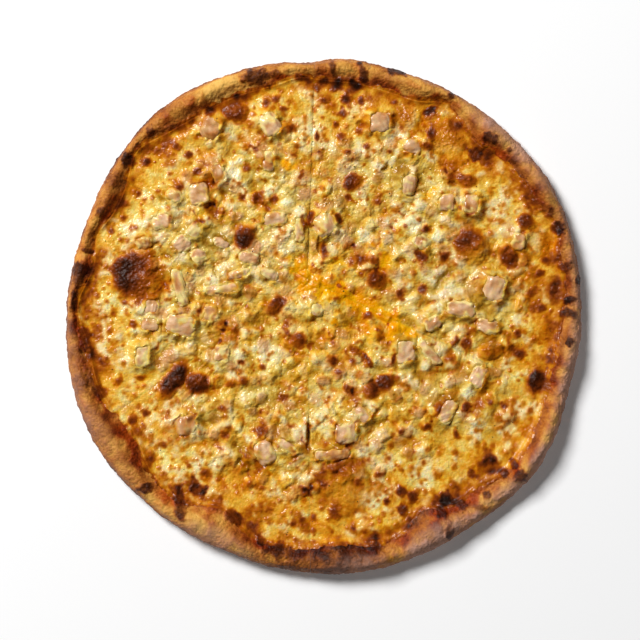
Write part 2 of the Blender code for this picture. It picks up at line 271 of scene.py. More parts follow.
def even_steps():
    """Steps along the section that lie evenly on its curve in a middling direction."""
    fine = np.linspace(0, 8, 801)
    inward, up = (along_section(np.repeat(side, 801, axis=1), fine) for side in rim_section(np.zeros(1)))
    run = np.concatenate(([0.0], np.cumsum(np.hypot(np.diff(inward), np.diff(up)))))
    return np.interp(np.linspace(0, run[-1], RIM_RINGS + 1), run, fine)


def vertex_places(mesh):
    places = np.empty(3 * len(mesh.vertices))
    mesh.vertices.foreach_get("co", places)
    return places.reshape(-1, 3)


def set_places(mesh, places):
    mesh.vertices.foreach_set("co", places.ravel())
    mesh.update()


def set_mask(mesh, name, values):
    """Keeps one value for each vertex, for the material to read."""
    mask = mesh.attributes.get(name) or mesh.attributes.new(name, "FLOAT", "POINT")
    mask.data.foreach_set("value", np.asarray(values, dtype=np.float32))


def solid_noise(places, length):
    """Random lumps in space about one length across."""
    return np.array([noise.noise(place) for place in (places / length).tolist()])


scorched = np.zeros_like(PLAN_X)
scorch_rise = np.zeros_like(PLAN_X)
for spot in SCORCHES:
    where, distance = oval(*spot[:5], ragged=0.22, reach=2.4)
    tone = spot.tone * (0.86 - 0.05 * FINE_RAGS[where])
    scorch = tone * (0.70 * fading(distance, 0.52, 1.15) + 0.30 * fading(distance, 0.8, 2.2))
    raise_to(scorched, where, scorch)
    dome = 0.16 * min(spot.length, spot.width) * np.clip(1 - distance**2, 0, None) ** 0.7
    raise_to(scorch_rise, where, np.minimum(dome, 0.8))


def shape_crust(mesh):
    """Rolls a flat grid into the rim; keeps each place's baking with some painted shade, flour and sauce."""
    places = vertex_places(mesh)
    angle = math.tau * (places[:, 0] + 0.5)
    step = even_steps()[np.rint((places[:, 1] + 0.5) * RIM_RINGS).astype(int)]
    inward, up = (along_section(side, step) for side in rim_section(angle))
    radius = crust_radius(angle) - inward
    x, y = radius * np.cos(angle) - MIDDLE[0], radius * np.sin(angle) - MIDDLE[1]
    places = np.stack((x, y, up), axis=1)
    free = smooth(step, 0.6, 1.8) * fading(step, 6.6, 7.2)
    on_top = smooth(step, 2.6, 4.0) * fading(step, 7.0, 7.4)
    lump = 2 * solid_noise(places * (1, 1, 0) + (0, 0, RIM_HEIGHT), RIM_LUMP_LENGTH) * up / RIM_HEIGHT
    dimple = solid_noise(places, RIM_DIMPLE_LENGTH)
    grain = solid_noise(places, RIM_GRAIN_LENGTH)
    places[:, 2] += on_top * (RIM_LUMP * lump + read(scorch_rise, x, y))
    outward = np.stack((np.cos(angle), np.sin(angle), 0 * angle), axis=1) * (1 - on_top)[:, None]
    outward[:, 2] = on_top
    places += outward * (free * (RIM_DIMPLE * 2 * dimple + RIM_GRAIN * 2 * grain))[:, None]
    places[:, 2] -= 0.5 * np.clip(places[:, 2] - RIM_PEAK, 0, None)
    set_places(mesh, places * MM)

    mottle = solid_noise(places, 17.0)
    stain = solid_noise(places + 40.0, 8.0)
    toward_cheese = smooth(step + 1.6 * stain + 0.8 * dimple, 4.9, 6.4)
    bake_and_shade = 0.42 + 0.20 * mottle + 0.20 * stain + 0.16 * dimple + 0.10 * grain + 0.10 * toward_cheese
    bake_and_shade -= 0.10 * np.exp(-(((step - 4.4) / 0.9) ** 2)) + swelling(GOLD_SWELLS, angle) * on_top
    # Darker low on the outer wall: partly a browner underside, partly painted shade where it curves under.
    bake_and_shade += 0.24 * fading(step, 1.6, 4.0)
    scorch = read(scorched, x, y) * smooth(step, 1.4, 2.8)
    flour = FLOUR_AMOUNT * swelling(FLOUR_SWELLS, angle) * fading(step, 3.8, 5.8)
    flour *= 0.75 + 0.8 * mottle + 0.5 * dimple
    sauce = toward_cheese * (0.6 + 1.0 * solid_noise(places + 90.0, 15.0))
    sauce += 0.35 * smooth(solid_noise(places - 60.0, 9.0), 0.22, 0.5) * on_top
    set_mask(mesh, "bake_and_shade", np.clip(np.maximum(bake_and_shade, 0.30 * bake_and_shade + SCORCH_SHARE * scorch), 0, 1))
    set_mask(mesh, "flour", np.clip(flour * (1 - scorch), 0, 1))
    set_mask(mesh, "sauce", np.clip(sauce, 0, 1))


def fill_holes(bm):
    """Fills every open face, such as one that a cut has left."""
    bmesh.ops.holes_fill(bm, edges=[edge for edge in bm.edges if edge.is_boundary])


def make_crust_disc():
    """The whole crust before it is cut: a grid rolled up into a ring, open seams closed."""
    bm = bmesh.new()
    bmesh.ops.create_grid(bm, x_segments=RIM_TURNS, y_segments=RIM_RINGS, size=0.5)
    mesh = bpy.data.meshes.new("crust_disc")
    bm.to_mesh(mesh)
    shape_crust(mesh)
    bm.clear()
    bm.from_mesh(mesh)
    seam = [vert for vert in bm.verts if vert.is_boundary]
    bmesh.ops.remove_doubles(bm, verts=seam, dist=1e-6)
    fill_holes(bm)
    bmesh.ops.recalc_face_normals(bm, faces=bm.faces)
    bm.to_mesh(mesh)
    bm.free()
    return mesh


CUT_CROSSING = np.array((-9.8, 22.0))
CUT_ANGLES = (36.1, 88.0, 151.8, 215.0, 270.7, 334.8, 396.1)
CUT_GAPS = (0.06, 0.08, 0.06, 0.06, 0.12, 0.06, 0.06)
CHEESE_GAPS = (0.02, 0.03, 0.02, 0.02, 0.04, 0.02, 0.02)


def heading(degrees):
    return np.array((math.cos(math.radians(degrees)), math.sin(math.radians(degrees))))


def slice_tip(number, gaps):
    """The point of a slice, half a gap clear of both of its cuts."""
    start, end = heading(CUT_ANGLES[number]), heading(CUT_ANGLES[number + 1])
    sides = np.array(((-start[1], start[0]), (end[1], -end[0])))
    clear = np.array((gaps[number], gaps[number + 1])) / 2
    return CUT_CROSSING + np.linalg.solve(sides, clear)


def cut_slice(mesh, number):
    """One slice of a whole disc."""
    bm = bmesh.new()
    bm.from_mesh(mesh)
    tip = Vector((*slice_tip(number, CUT_GAPS), 0.0)) * MM
    for direction, side in ((CUT_ANGLES[number], 1), (CUT_ANGLES[number + 1], -1)):
        away = (*heading(direction - side * 90), 0.0)
        geom = [*bm.verts, *bm.edges, *bm.faces]
        bmesh.ops.bisect_plane(bm, geom=geom, dist=1e-7, plane_co=tip, plane_no=away, clear_outer=True)
        fill_holes(bm)
    return bm


def finish_mesh(bm, name, material):
    """Turns a bmesh into a shown object, shaded smooth."""
    mesh = bpy.data.meshes.new(name)
    bm.to_mesh(mesh)
    bm.free()
    mesh.shade_smooth()
    mesh.set_sharp_from_angle(angle=math.radians(60))
    mesh.materials.append(material)
    obj = bpy.data.objects.new(name, mesh)
    bpy.context.scene.collection.objects.link(obj)
    return obj


def new_group(name, inputs, outputs):
    """An empty node group: inputs are names with their default numbers."""
    group = bpy.data.node_groups.new(name, "ShaderNodeTree")
    for label, default in inputs.items():
        socket = group.interface.new_socket(label, in_out="INPUT", socket_type="NodeSocketFloat")
        socket.default_value = default
    for label in outputs:
        group.interface.new_socket(label, in_out="OUTPUT", socket_type="NodeSocketFloat")
    return group, group.nodes.new("NodeGroupInput"), group.nodes.new("NodeGroupOutput")


def node(tree, kind, links=(), **settings):
    """A new node, with its settings and with its sockets linked or set. An entry of links is
    an input's name or number and what it takes: another node's output or a value."""
    made = tree.nodes.new(kind)
    for key, value in settings.items():
        setattr(made, key, value)
    for key, value in dict(links).items():
        socket = made.inputs[key]
        if isinstance(value, bpy.types.NodeSocket):
            tree.links.new(value, socket)
        else:
            socket.default_value = value
    return made


def arithmetic(tree, operation, *values, clamp=False):
    """One arithmetic node's result."""
    made = node(tree, "ShaderNodeMath", enumerate(values), operation=operation, use_clamp=clamp)
    return made.outputs[0]


def blend_colour(tree, share, low, high, way="MIX"):
    """Two colours mixed by a share."""
    links = {"Factor": share, 6: low, 7: high}
    return node(tree, "ShaderNodeMix", links, data_type="RGBA", blend_type=way).outputs[2]


def colour(red, green, blue):
    """A colour seen on a screen, 0 to 255, as the shader needs it."""
    seen = np.array((red, green, blue)) / 255
    light = np.where(seen <= 0.04045, seen / 12.92, ((seen + 0.055) / 1.055) ** 2.4)
    return (*light.tolist(), 1.0)


def colour_ramp(tree, factor, stops):
    """A ramp through the stops, each a place and a colour seen on a screen."""
    stops = [(place, colour(*seen)) for place, *seen in stops]
    made = node(tree, "ShaderNodeValToRGB", {0: factor})
    points = made.color_ramp.elements
    points[0].position, points[0].color = stops[0]
    points[1].position, points[1].color = stops[-1]
    for place, tint in stops[1:-1]:
        points.new(place).color = tint
    return made.outputs[0]


def make_mottle():
    """Browning that is never even: it takes a doneness, breaks it up with patches and grain
    of given sizes, and gives it back with the grain as a relief."""
    inputs = {"Doneness": 0.3, "Patch Size": 3.0, "Patch Amount": 0.1, "Grain Size": 0.8, "Grain Amount": 0.1}
    group, given, result = new_group("oven_mottle", inputs, ("Doneness", "Grain"))
    place = node(group, "ShaderNodeTexCoord").outputs["Object"]
    total = given.outputs["Doneness"]
    for layer in ("Patch", "Grain"):
        scale = arithmetic(group, "DIVIDE", 1.0 / MM, given.outputs[f"{layer} Size"])
        links = {"Vector": place, "Scale": scale, "Detail": 2.0, "Roughness": 0.6}
        wave = node(group, "ShaderNodeTexNoise", links)
        swing = arithmetic(group, "SUBTRACT", wave.outputs[0], 0.5)
        swing = arithmetic(group, "MULTIPLY", swing, given.outputs[f"{layer} Amount"])
        total = arithmetic(group, "ADD", total, swing)
    group.links.new(total, result.inputs["Doneness"])
    group.links.new(wave.outputs[0], result.inputs["Grain"])
    return group


OVEN_MOTTLE = make_mottle()


def mottled(tree, *values):
    """The mottle group placed in a material, with its inputs in order: doneness and grain."""
    made = node(tree, "ShaderNodeGroup", enumerate(values), node_tree=OVEN_MOTTLE)
    return made.outputs["Doneness"], made.outputs["Grain"]


def mask_of(tree, name):
    return node(tree, "ShaderNodeAttribute", attribute_name=name).outputs["Fac"]


def new_food_material(name, **values):
    """A Principled material with its uniform values set on the shader."""
    material = bpy.data.materials.new(name)
    material.use_nodes = True
    shader = material.node_tree.nodes["Principled BSDF"]
    for key, value in values.items():
        shader.inputs[key.replace("_", " ")].default_value = value
    return material, material.node_tree, shader


def add_bump(tree, shader, height, distance, strength=1.0):
    """Fine relief up to a distance high."""
    bump = node(tree, "ShaderNodeBump", {"Height": height, "Distance": distance * MM, "Strength": strength})
    tree.links.new(bump.outputs[0], shader.inputs["Normal"])


CRUST_TONES = (
    (0, 231, 178, 88), (0.2, 213, 151, 64), (0.4, 184, 114, 43), (0.6, 142, 78, 28), (0.8, 84, 40, 14),
    (1, 34, 15, 7),
)  # fmt: skip


def make_crust_material():
    material, tree, shader = new_food_material("baked_crust", Specular_IOR_Level=0.12)
    doneness, grain = mottled(tree, mask_of(tree, "bake_and_shade"), 2.4, 0.22, 1.2, 0.22)
    tint = colour_ramp(tree, doneness, CRUST_TONES)
    tint = blend_colour(tree, mask_of(tree, "sauce"), tint, colour(240, 164, 112), "MULTIPLY")
    patchy = arithmetic(tree, "ADD", grain, 0.35)
    dusty = arithmetic(tree, "MULTIPLY", mask_of(tree, "flour"), patchy, clamp=True)
    tint = blend_colour(tree, dusty, tint, colour(206, 158, 136))
    tree.links.new(tint, shader.inputs["Base Color"])
    rough = arithmetic(tree, "ADD", 0.46, arithmetic(tree, "MULTIPLY", dusty, 0.35))
    tree.links.new(rough, shader.inputs["Roughness"])
    add_bump(tree, shader, grain, 0.55)
    return material


baked_crust = make_crust_material()
crust_disc = make_crust_disc()
crust_surface = bmesh.new()
crust_surface.from_mesh(crust_disc)
crust_tree = BVHTree.FromBMesh(crust_surface)
crust_surface.free()
for number in range(6):
    crust = finish_mesh(cut_slice(crust_disc, number), f"crust_slice_{number + 1}", baked_crust)
    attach(crust, "root")
    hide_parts(f"dough_{number + 1}")
bpy.data.meshes.remove(crust_disc)

# ---- Cheese: six sheets of melted cheese over hot sauce
# Grated cheese melts into one sheet that climbs the chicken and the foot of the rim. It
# bubbles and browns, and the sauce under it weeps orange oil. The knife parts it in six.

CHEESE_TOP = 9.3
CHEESE_EDGE_TOP = 8.7
CHEESE_EDGE_SLOPE = 7.0
CHEESE_LUMP = 0.7
CHEESE_LUMP_LENGTH = 13.0
MOUND_HEIGHT = 1.1
CHEESE_BOTTOM = FLOOR_HEIGHT + GAP
CHEESE_ROWS = 390
CHEESE_OVERLAP = 5.0  # how far the sheet's mesh runs up the foot of the rim

# A blister is a big bubble: middle, length, width, turn, height, doneness, and the
# direction in which it is darkest with how much.
Blister = namedtuple("Blister", "x y length width turn height tone dark_side lean")
BLISTERS = [Blister(*row) for row in (
    (-108.5, 24, 30, 28, 0, 6, 0.8, 166, 0.27), (-46.5, 47, 15, 13, 60, 4.5, 0.88, 200, 0.06),
    (-88.5, -38, 25, 11, 52, 3.5, 0.96, 60, 0.1), (-74, -39, 15, 13, 0, 4, 0.87, 250, 0.1),
    (17, 79, 11, 10, 0, 3.5, 0.86, 160, 0.08), (31, 21, 12, 11, 0, 4, 0.8, 100, 0.1),
    (35.5, -38.5, 12, 10, 30, 3, 0.88, 60, 0.08), (28.5, -43, 11, 9, 80, 3, 0.76, 0, 0),
    (-28.5, 6, 14, 9, 48, 2.5, 0.78, 50, 0.08), (-15, -14.5, 10, 9, 0, 2, 0.7, 0, 0.05),
    (87, 42, 22, 20, -30, 5, 0.68, 140, 0.24), (108.5, 36, 15, 10, 95, 4, 0.74, 270, 0.12),
    (118.5, 56, 10, 9, 0, 3, 0.9, 0, 0), (84, 79.5, 10, 8, -10, 3, 0.7, 0, 0.05),
    (-51.5, 120, 14, 10, 5, 3.5, 0.82, 200, 0.05), (98, -20, 17, 10, -5, 2, 0.54, 0, 0),
    (126, -38.5, 13, 11, -35, 3.5, 0.92, 180, 0.1), (50, 118, 15, 14, 0, 2.5, 0.44, 150, 0.12),
    (74, 103, 25, 22, -45, 2.5, 0.44, 60, 0.12), (14, -98, 30, 34, 0, 2.5, 0.43, 120, 0.05),
)]  # fmt: skip

# A bubble is a small one that has browned: middle, length, width, doneness and turn.
Bubble = namedtuple("Bubble", "x y length width tone turn", defaults=(0,))
BUBBLES = [Bubble(*row) for row in (
    (75, 82, 6, 5, 0.56), (63, 107, 5, 8, 0.76), (61, 100, 8, 5, 0.62, -20), (13, 128, 6, 7, 0.82),
    (22, 127, 4, 6, 0.7), (-34, 126, 5, 6, 0.62), (-28, 128, 5, 5, 0.6), (-24, 122, 5, 4, 0.6),
    (-19, 111, 6, 6, 0.6), (-4, 134, 4, 5, 0.66), (0, 127, 6, 4, 0.66), (6, 133, 4, 3, 0.6),
    (11, 120, 6, 4, 0.66, 20), (7, 113, 4, 4, 0.6), (10, 106, 6, 4, 0.62), (-4, 106, 3, 6, 0.74),
    (14, 97, 5, 3, 0.6), (25, 100, 5, 4, 0.6), (21, 109, 5, 5, 0.5), (-39, 70, 8, 7, 0.64),
    (-48, 70, 5, 5, 0.62), (-29, 69, 5, 4, 0.6), (-33, 63, 3, 3, 0.6), (-45, 87, 5, 4, 0.56),
    (-104, 91, 6, 5, 0.78), (-87, 100, 5, 5, 0.6), (-94, 100, 4, 4, 0.56), (-79, 95, 5, 5, 0.7),
    (-75, 85, 5, 4, 0.66), (-85, 76, 6, 5, 0.66), (-109, 72, 4, 4, 0.6), (-8, 58, 4, 9, 0.72, -25),
    (9, 57, 4, 9, 0.72, 30), (0, 39, 4, 9, 0.72), (14, 70, 4, 4, 0.6), (32, 67, 5, 4, 0.6),
    (39, 97, 4, 3, 0.56), (60, 51, 6, 5, 0.72, 20), (48, 53, 3, 3, 0.6), (57.5, 35, 9, 6, 0.74, -40),
    (71, 35, 7, 7, 0.72), (58, 16, 7, 6, 0.68), (45, 13, 5, 6, 0.7), (9, 18, 4, 4, 0.5),
    (26, 1, 6, 4, 0.6, 20), (32, -8, 4, 3, 0.6), (17, -26, 5, 4, 0.62), (9, -33, 4, 4, 0.6),
    (14, -42, 5, 4, 0.6), (25, -24, 3, 8, 0.72, 30), (41, -25, 3, 8, 0.66, -15), (-48, -27, 5, 4, 0.62),
    (-36, -30, 5, 4, 0.56), (-24, -48, 8, 5, 0.56, 20), (-36, -67, 6, 8, 0.62), (-112, -5, 6, 5, 0.56),
    (-117, 8, 5, 4, 0.56), (84, -15, 6, 6, 0.64), (78, -14, 3, 5, 0.6), (115, -22, 7, 6, 0.74),
    (114, -10, 5, 5, 0.66), (84, -53, 6, 7, 0.72), (68, -54, 5, 8, 0.64), (106, -53, 5, 4, 0.68),
    (98, -51, 4, 4, 0.62), (61, -65, 5, 5, 0.68), (45, -68, 4, 4, 0.68), (78, -69, 4, 7, 0.64, 20),
    (6, -91, 5, 4, 0.6), (20, -98, 4, 4, 0.6), (32, -93, 6, 4, 0.6), (45, -103, 6, 7, 0.78),
    (52, -106, 6, 8, 0.76, 30), (37, -109, 5, 6, 0.72), (47, -113, 6, 6, 0.78), (51, -120, 5, 6, 0.7),
    (6, -115, 8, 10, 0.62), (-6, -118, 4, 4, 0.6), (-6, -126, 3, 3, 0.6), (-18, -122, 4, 4, 0.62),
    (-13, -120, 4, 4, 0.62), (-105, -57, 5, 5, 0.66), (-60, -54, 7, 5, 0.5), (-58, -70, 5, 5, 0.58),
    (-94, -76, 4, 4, 0.56), (-70, -92, 6, 5, 0.6), (-53, -8, 5, 4, 0.5, 20), (-47, -38, 5, 5, 0.56),
    (-55, -40, 5, 4, 0.52), (18, -20, 10, 5, 0.5, -30), (30, 33, 5, 4, 0.48), (75, -25, 5, 4, 0.5),
    (131, 33, 5, 5, 0.7), (127, 25, 5, 4, 0.66), (122, 14, 5, 5, 0.6), (128, 5, 6, 5, 0.66),
    (-125, 50, 4, 4, 0.6), (-118, 58, 4, 4, 0.6), (-117, 66, 4, 3, 0.56), (-128, -25, 4, 4, 0.5),
    (-121, -38, 4, 4, 0.5), (-113, -62, 5, 6, 0.66), (-102, -84, 6, 5, 0.68), (-108, -36, 6, 4, 0.56),
)]  # fmt: skip

# A zone is a wide patch of one look: middle, length, width, turn and amount.
TOASTED_ZONES = (
    (76, 106, 30, 26, -45, 0.22), (130, 10, 16, 42, 0, 0.22), (14, -97, 32, 38, 0, 0.3),
    (50, -75, 20, 12, 0, 0.18), (-50, 123, 26, 20, 0, 0.34), (-42, -118, 46, 14, 10, 0.24),
    (-133, -33, 12, 32, 10, 0.14), (-136, 8, 10, 34, 0, 0.26), (96, -86, 26, 14, -30, 0.46),
    (78, -107, 38, 16, 0, 0.34), (128, -28, 14, 16, 0, 0.34), (12, 137, 44, 12, 0, 0.26),
    (124, 73, 11, 34, 40, 0.26), (98, 96, 26, 18, -40, 0.24), (45, -128, 30, 12, 8, 0.28),
    (-96, 103, 34, 12, 30, 0.22), (-122, 70, 12, 26, -30, 0.2), (58, -115, 14, 18, 0, 0.14),
    (34, 128, 24, 12, 0, 0.18), (-103, 20, 34, 30, 0, 0.08), (117, 42, 20, 30, 0, 0.1),
    (-8, -122, 20, 14, 0, 0.2), (-36, 18, 20, 12, 0, 0.14), (12, -30, 18, 16, 0, 0.14),
    (8, 44, 30, 12, 0, 0.12), (22, 34, 14, 8, 0, 0.24), (48, 22, 10, 8, 0, 0.14),
    (20, -46, 24, 10, 0, 0.14),
)  # fmt: skip
# Where the cheese's edge is browner or paler than elsewhere.
EDGE_TOAST_SWELLS = ((334, -0.85, 13), (207, -0.6, 9), (300, 0.15, 10), (5, 0.2, 12), (45, -0.3, 8))
# Where oil stands in pools, where the sheet has soaked it up, and where milk has run out.
POOLS = (
    (-6, 20, 20, 9, 10, 1.4), (8, 15, 26, 11, -20, 1.8), (24, 7, 24, 9, -34, 1.8),
    (38, -2, 26, 9, -32, 1.7), (50, -9, 12, 6, -30, 0.9), (-14, 29, 18, 9, 10, 0.8), (5, 33, 16, 8, 0, 0.7),
    (37, 33, 17, 8, -50, 1), (62, 72, 18, 5, 35, 0.7), (-19, 89, 8, 6, 0, 0.7), (26, -12, 5, 12, 20, 0.6),
    (-9, -30, 3, 22, 0, 0.5), (-2, 6, 14, 6, 0, 0.5), (-57, -8, 10, 5, 30, 0.5),
    (-44, -100, 14, 7, 20, 0.5), (40, -58, 12, 6, 20, 0.45),
)  # fmt: skip
OIL_ZONES = (
    (24, 8, 52, 22, -28, 0.6), (0, 26, 44, 32, 0, 0.6), (10, 0, 80, 70, 0, 0.34), (35, 33, 18, 15, 0, 0.45),
    (-45, -98, 44, 30, 10, 0.36), (55, 96, 16, 12, 0, 0.45), (40, -60, 30, 14, 20, 0.35),
    (-74, 60, 12, 8, 20, 0.4), (-66, -42, 18, 14, 0, 0.35), (70, -75, 20, 14, 0, 0.3),
    (-40, 14, 14, 8, 10, 0.45), (-3, 118, 60, 16, 0, 0.25), (-100, 70, 50, 12, 40, 0.28),
    (-118, -60, 20, 30, 0, 0.25),
)  # fmt: skip
MILK_ZONES = (
    (-78, 44, 40, 34, 0, 0.65), (70, 22, 28, 34, 0, 0.55), (50, 85, 36, 24, 0, 0.65),
    (-67, -55, 24, 18, 0, 0.6), (-4, -27, 10, 14, 0, 0.55), (74, 78, 12, 9, 0, 0.65),
    (-50, 88, 26, 34, 0, 0.35), (-62, 20, 34, 24, 0, 0.35), (20, 50, 34, 16, 0, 0.35),
    (-40, -48, 26, 16, 0, 0.4), (55, -35, 34, 20, 0, 0.4), (80, -62, 20, 14, 30, 0.4),
    (15, 90, 24, 24, 0, 0.4), (95, 0, 40, 20, 0, 0.35), (-20, 75, 18, 16, 0, 0.4),
    (28, -84, 16, 12, 0, 0.2), (-52, -88, 36, 28, 10, 0.4), (102, -60, 36, 34, 0, 0.5),
    (0, 118, 40, 16, 0, 0.2),
)  # fmt: skip


def softened(plan, rounds):
    """A map with its values spread to their neighbours, over about a third of a millimetre
    for each four rounds."""
    for _ in range(2 * rounds):
        plan = plan.T
        plan = (plan + np.roll(plan, 1, axis=0)) / 2
        plan = (plan + np.roll(plan, -1, axis=0)) / 2
    return plan


def zone_map(zones, ragged=0.30):
    """A map of the strongest zone at each place, fading out at its edge."""
    plan = np.zeros_like(PLAN_X)
    for x, y, length, width, turn, amount in zones:
        where, distance = oval(x, y, length, width, turn, ragged, 1.7, COARSE_RAGS)
        raise_to(plan, where, amount * fading(distance, 0.45, 1.25))
    return plan


DOWN = Vector((0, 0, -1))
FAR_OFF = 40.0  # above every top and away from every piece
DRAPE_REACH = 6.0  # how far from a piece of chicken it still lifts the cheese


def top_plane(tree, low, high):
    """The plane of a piece's top: its height over the middle and its slopes."""
    middle, half = (low + high) / 2, (high - low) / 2
    rows = []
    for u in (-0.45, 0.0, 0.45):
        for v in (-0.45, 0.0, 0.45):
            hit = tree.ray_cast(Vector((*(middle + (u, v, 0) * half)[:2], FAR_OFF)), DOWN)[0]
            if hit:
                rows.append((1.0, u * half[0], v * half[1], hit.z))
    rows = np.array(rows)
    return np.linalg.lstsq(rows[:, :3], rows[:, 3], rcond=None)[0]


def chicken_maps():
    """Two maps made from the chicken's solids: how far each place lies outside the nearest
    piece, and the height of that piece's top."""
    away = np.full_like(PLAN_X, FAR_OFF)
    tops = np.full_like(PLAN_X, CHEESE_TOP)
    for name in chicken_nodes:
        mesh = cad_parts[name].data
        low, high = (np.array(corner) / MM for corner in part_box(name))
        corners = [vert.co / MM for vert in mesh.vertices]
        tree = BVHTree.FromPolygons(corners, [face.vertices[:] for face in mesh.polygons])
        middle, half = (low + high) / 2, (high - low) / 2
        where = plan_part(*middle[:2], *(half[:2] + DRAPE_REACH))
        x, y = PLAN_X[where], PLAN_Y[where]
        level, tilt_x, tilt_y = top_plane(tree, low, high)
        top = level + tilt_x * np.clip(x - middle[0], -half[0], half[0])
        top += tilt_y * np.clip(y - middle[1], -half[1], half[1])
        distance = np.empty_like(x)
        for index in np.ndindex(x.shape):
            near = tree.find_nearest(Vector((x[index], y[index], middle[2])))[3]
            under = tree.ray_cast(Vector((x[index], y[index], FAR_OFF)), DOWN)[0]
            distance[index] = -near if under else near
        nearer = distance < away[where]
        away[where] = np.where(nearer, distance, away[where])
        tops[where] = np.where(nearer, top, tops[where])
    return away, tops


chicken_nodes = sorted(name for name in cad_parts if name.startswith("chicken_"))
chicken_away, chicken_tops = chicken_maps()
crowd = np.zeros_like(PLAN_X)  # how busy with chicken each place is
mound = np.zeros_like(PLAN_X)  # how the sheet swells round the chicken
for name in chicken_nodes:
    low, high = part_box(name)
    centre = (low + high) / 2 / MM
    where, distance = oval(*centre.xy, 40, 40, reach=2.0)
    crowd[where] += np.exp(-((distance / 0.62) ** 2))
    where, distance = oval(*centre.xy, 19, 19, reach=2.4)
    raise_to(mound, where, MOUND_HEIGHT * np.exp(-(distance**2)))
crowd = np.clip(crowd, 0, 1.6) / 1.6

direction, distance_out = bearing(PLAN_X, PLAN_Y)
from_edge = crust_radius(direction) - rim_width(direction) - GAP - distance_out
inside = np.clip(from_edge / CHEESE_EDGE_SLOPE, 0, 1)
# What breaks up the form and the look of the melted cheese.
lumps = stirred(unevenness(3.3, 21), 1.2, 22, 4.0)
curds = stirred(unevenness(1.7, 25), 0.8, 27, 2.2)
crumbs = unevenness(0.85, 29)
grains = unevenness(0.5, 30)
broad = unevenness(9.0, 31)
strands = stirred(1 - np.abs(unevenness(1.8, 41)), 1.1, 42, 2.8)
clumps = stirred(unevenness(5.5, 45), 2.0, 46, 6.0)


def creases(length, seed, width):
    """A map of thin lines where melted pieces meet, broken here and there."""
    meeting = stirred(unevenness(length, seed), 1.2, seed + 1, 3.0)
    return np.exp(-((meeting / width) ** 2)) * smooth(unevenness(3.0, seed + 3), -0.3, 0.9)


folds = np.maximum(creases(3.6, 71, 0.10), creases(2.4, 81, 0.09))

# The sheet's broad lumps, worked out at every eighth place and filled in between.
coarse_places = PLACES[::8]
coarse = np.array([[noise.noise(Vector((x, y, 0)) / CHEESE_LUMP_LENGTH) for x in coarse_places]
                   for y in coarse_places])  # fmt: skip
fill_in = np.array([np.interp(PLACES, coarse_places, row) for row in np.eye(len(coarse_places))])
sheet_lump = fill_in.T @ (2.0 * coarse) @ fill_in

# How much is going on in the cheese: less toward the rim, more among the chicken.
busy = np.clip(0.75 * smooth(from_edge + 6.0 * broad, 22.0, 48.0) + 0.6 * crowd, 0, 1)

# Dice that the cheese covers show as tilted blocks under it, some with the meat showing.
HIDDEN_DICE_TRIES = 3500
HIDDEN_DICE_APART = 6.6
scatter = np.random.default_rng(77)
hidden_dice = []
for _ in range(HIDDEN_DICE_TRIES):
    x, y = scatter.uniform(-125, 125, 2)
    wanted = scatter.random() < 1.2 * read(busy, x, y) - 0.2 and read(from_edge, x, y) > 7
    clear = all(math.hypot(x - other[0], y - other[1]) > HIDDEN_DICE_APART for other in hidden_dice)
    if wanted and clear and read(chicken_away, x, y) > 1.8:
        hidden_dice.append((x, y, *scatter.uniform(6, 11, 2), scatter.uniform(0, 90)))
block_rise = np.zeros_like(PLAN_X)
block_pale = np.zeros_like(PLAN_X)
meat = np.zeros_like(PLAN_X)
for die in hidden_dice:
    where, distance = oval(*die, ragged=0.16, reach=1.6, rags=COARSE_RAGS, corners=4)
    rise, show, pale = scatter.uniform((0.5, -0.6, -0.4), (1.9, 1.1, 1.0))
    tilt_x, tilt_y = scatter.uniform(-0.5, 0.5, 2) * rise / 4
    slope_there = tilt_x * (PLAN_X[where] - die[0]) + tilt_y * (PLAN_Y[where] - die[1])
    block = (rise + slope_there) * fading(distance, 0.40, 1.30)
    raise_to(block_rise, where, block)
    raise_to(meat, where, show * fading(distance, 0.6, 1.0))
    raise_to(block_pale, where, pale * fading(distance, 0.6, 1.05))
meat *= np.clip(1.0 - 0.45 * lumps, 0, 1)

# Shreds of cheese that have kept some of their shape.
SHRED_COUNT = 900
shred = np.zeros_like(PLAN_X)
for _ in range(SHRED_COUNT):
    x, y = scatter.uniform(-138, 138, 2)
    if read(from_edge, x, y) < 2:
        continue
    length, width, turn, height = scatter.uniform((4, 1.1, 0, 0.4), (13, 2.2, 180, 1.0))
    where, distance = oval(x, y, length, width, turn, 0.3, 1.6)
    raise_to(shred, where, height * fading(distance, 0.2, 1.1))

# The crests of the melted cheese lie above 0 in this map and its hollows below.
ridge = 0.45 * clumps + 0.60 * lumps + 0.30 * curds + 0.15 * (strands - 0.2) + 0.22 * crumbs
# The fine relief: each map with its height, and how much higher it is where it is busy.
RELIEF = (
    (clumps, 0, 0.34), (lumps, 0.12, 0.12), (curds, 0.07, 0.02), (crumbs, 0.05, 0.02), (grains, 0.06, 0.03),
    (strands, 0.05, 0.03), (shred, 0.18, 0.18), (folds, -0.03, -0.10),
)  # fmt: skip
relief = sum((height + higher * busy) * plan for plan, height, higher in RELIEF)

# How browned the cheese is: the open sheet, toasted zones, the edge, specks and scorches,
# then the blisters and the bubbles. Climb is how thick its film lies on the rim's foot.
DARKEST_BLISTER = 0.92
blister_rise = np.zeros_like(PLAN_X)
toast = 0.16 - 0.06 * busy + 0.05 * broad + 0.03 * lumps - 0.04 * curds
toasted = zone_map(TOASTED_ZONES)
toast += toasted * (0.85 + 0.10 * curds + 0.20 * lumps)
climb = 0.40 + 0.12 * lumps + 0.08 * curds + 0.16 * np.minimum(from_edge, 0)
climb -= 0.10 * np.clip(-2.0 - from_edge, 0, None) ** 2
edge_toast = 1.0 + swelling(EDGE_TOAST_SWELLS, direction)
toast += 0.20 * edge_toast * fading(from_edge, 0.0, 11.0) * (1.0 + 0.35 * lumps + 0.2 * curds)
thin_film = fading(climb, 0.0, 0.5) * fading(from_edge, -1.0, 2.5)
toast += (0.36 + 0.22 * edge_toast - toast) * thin_film
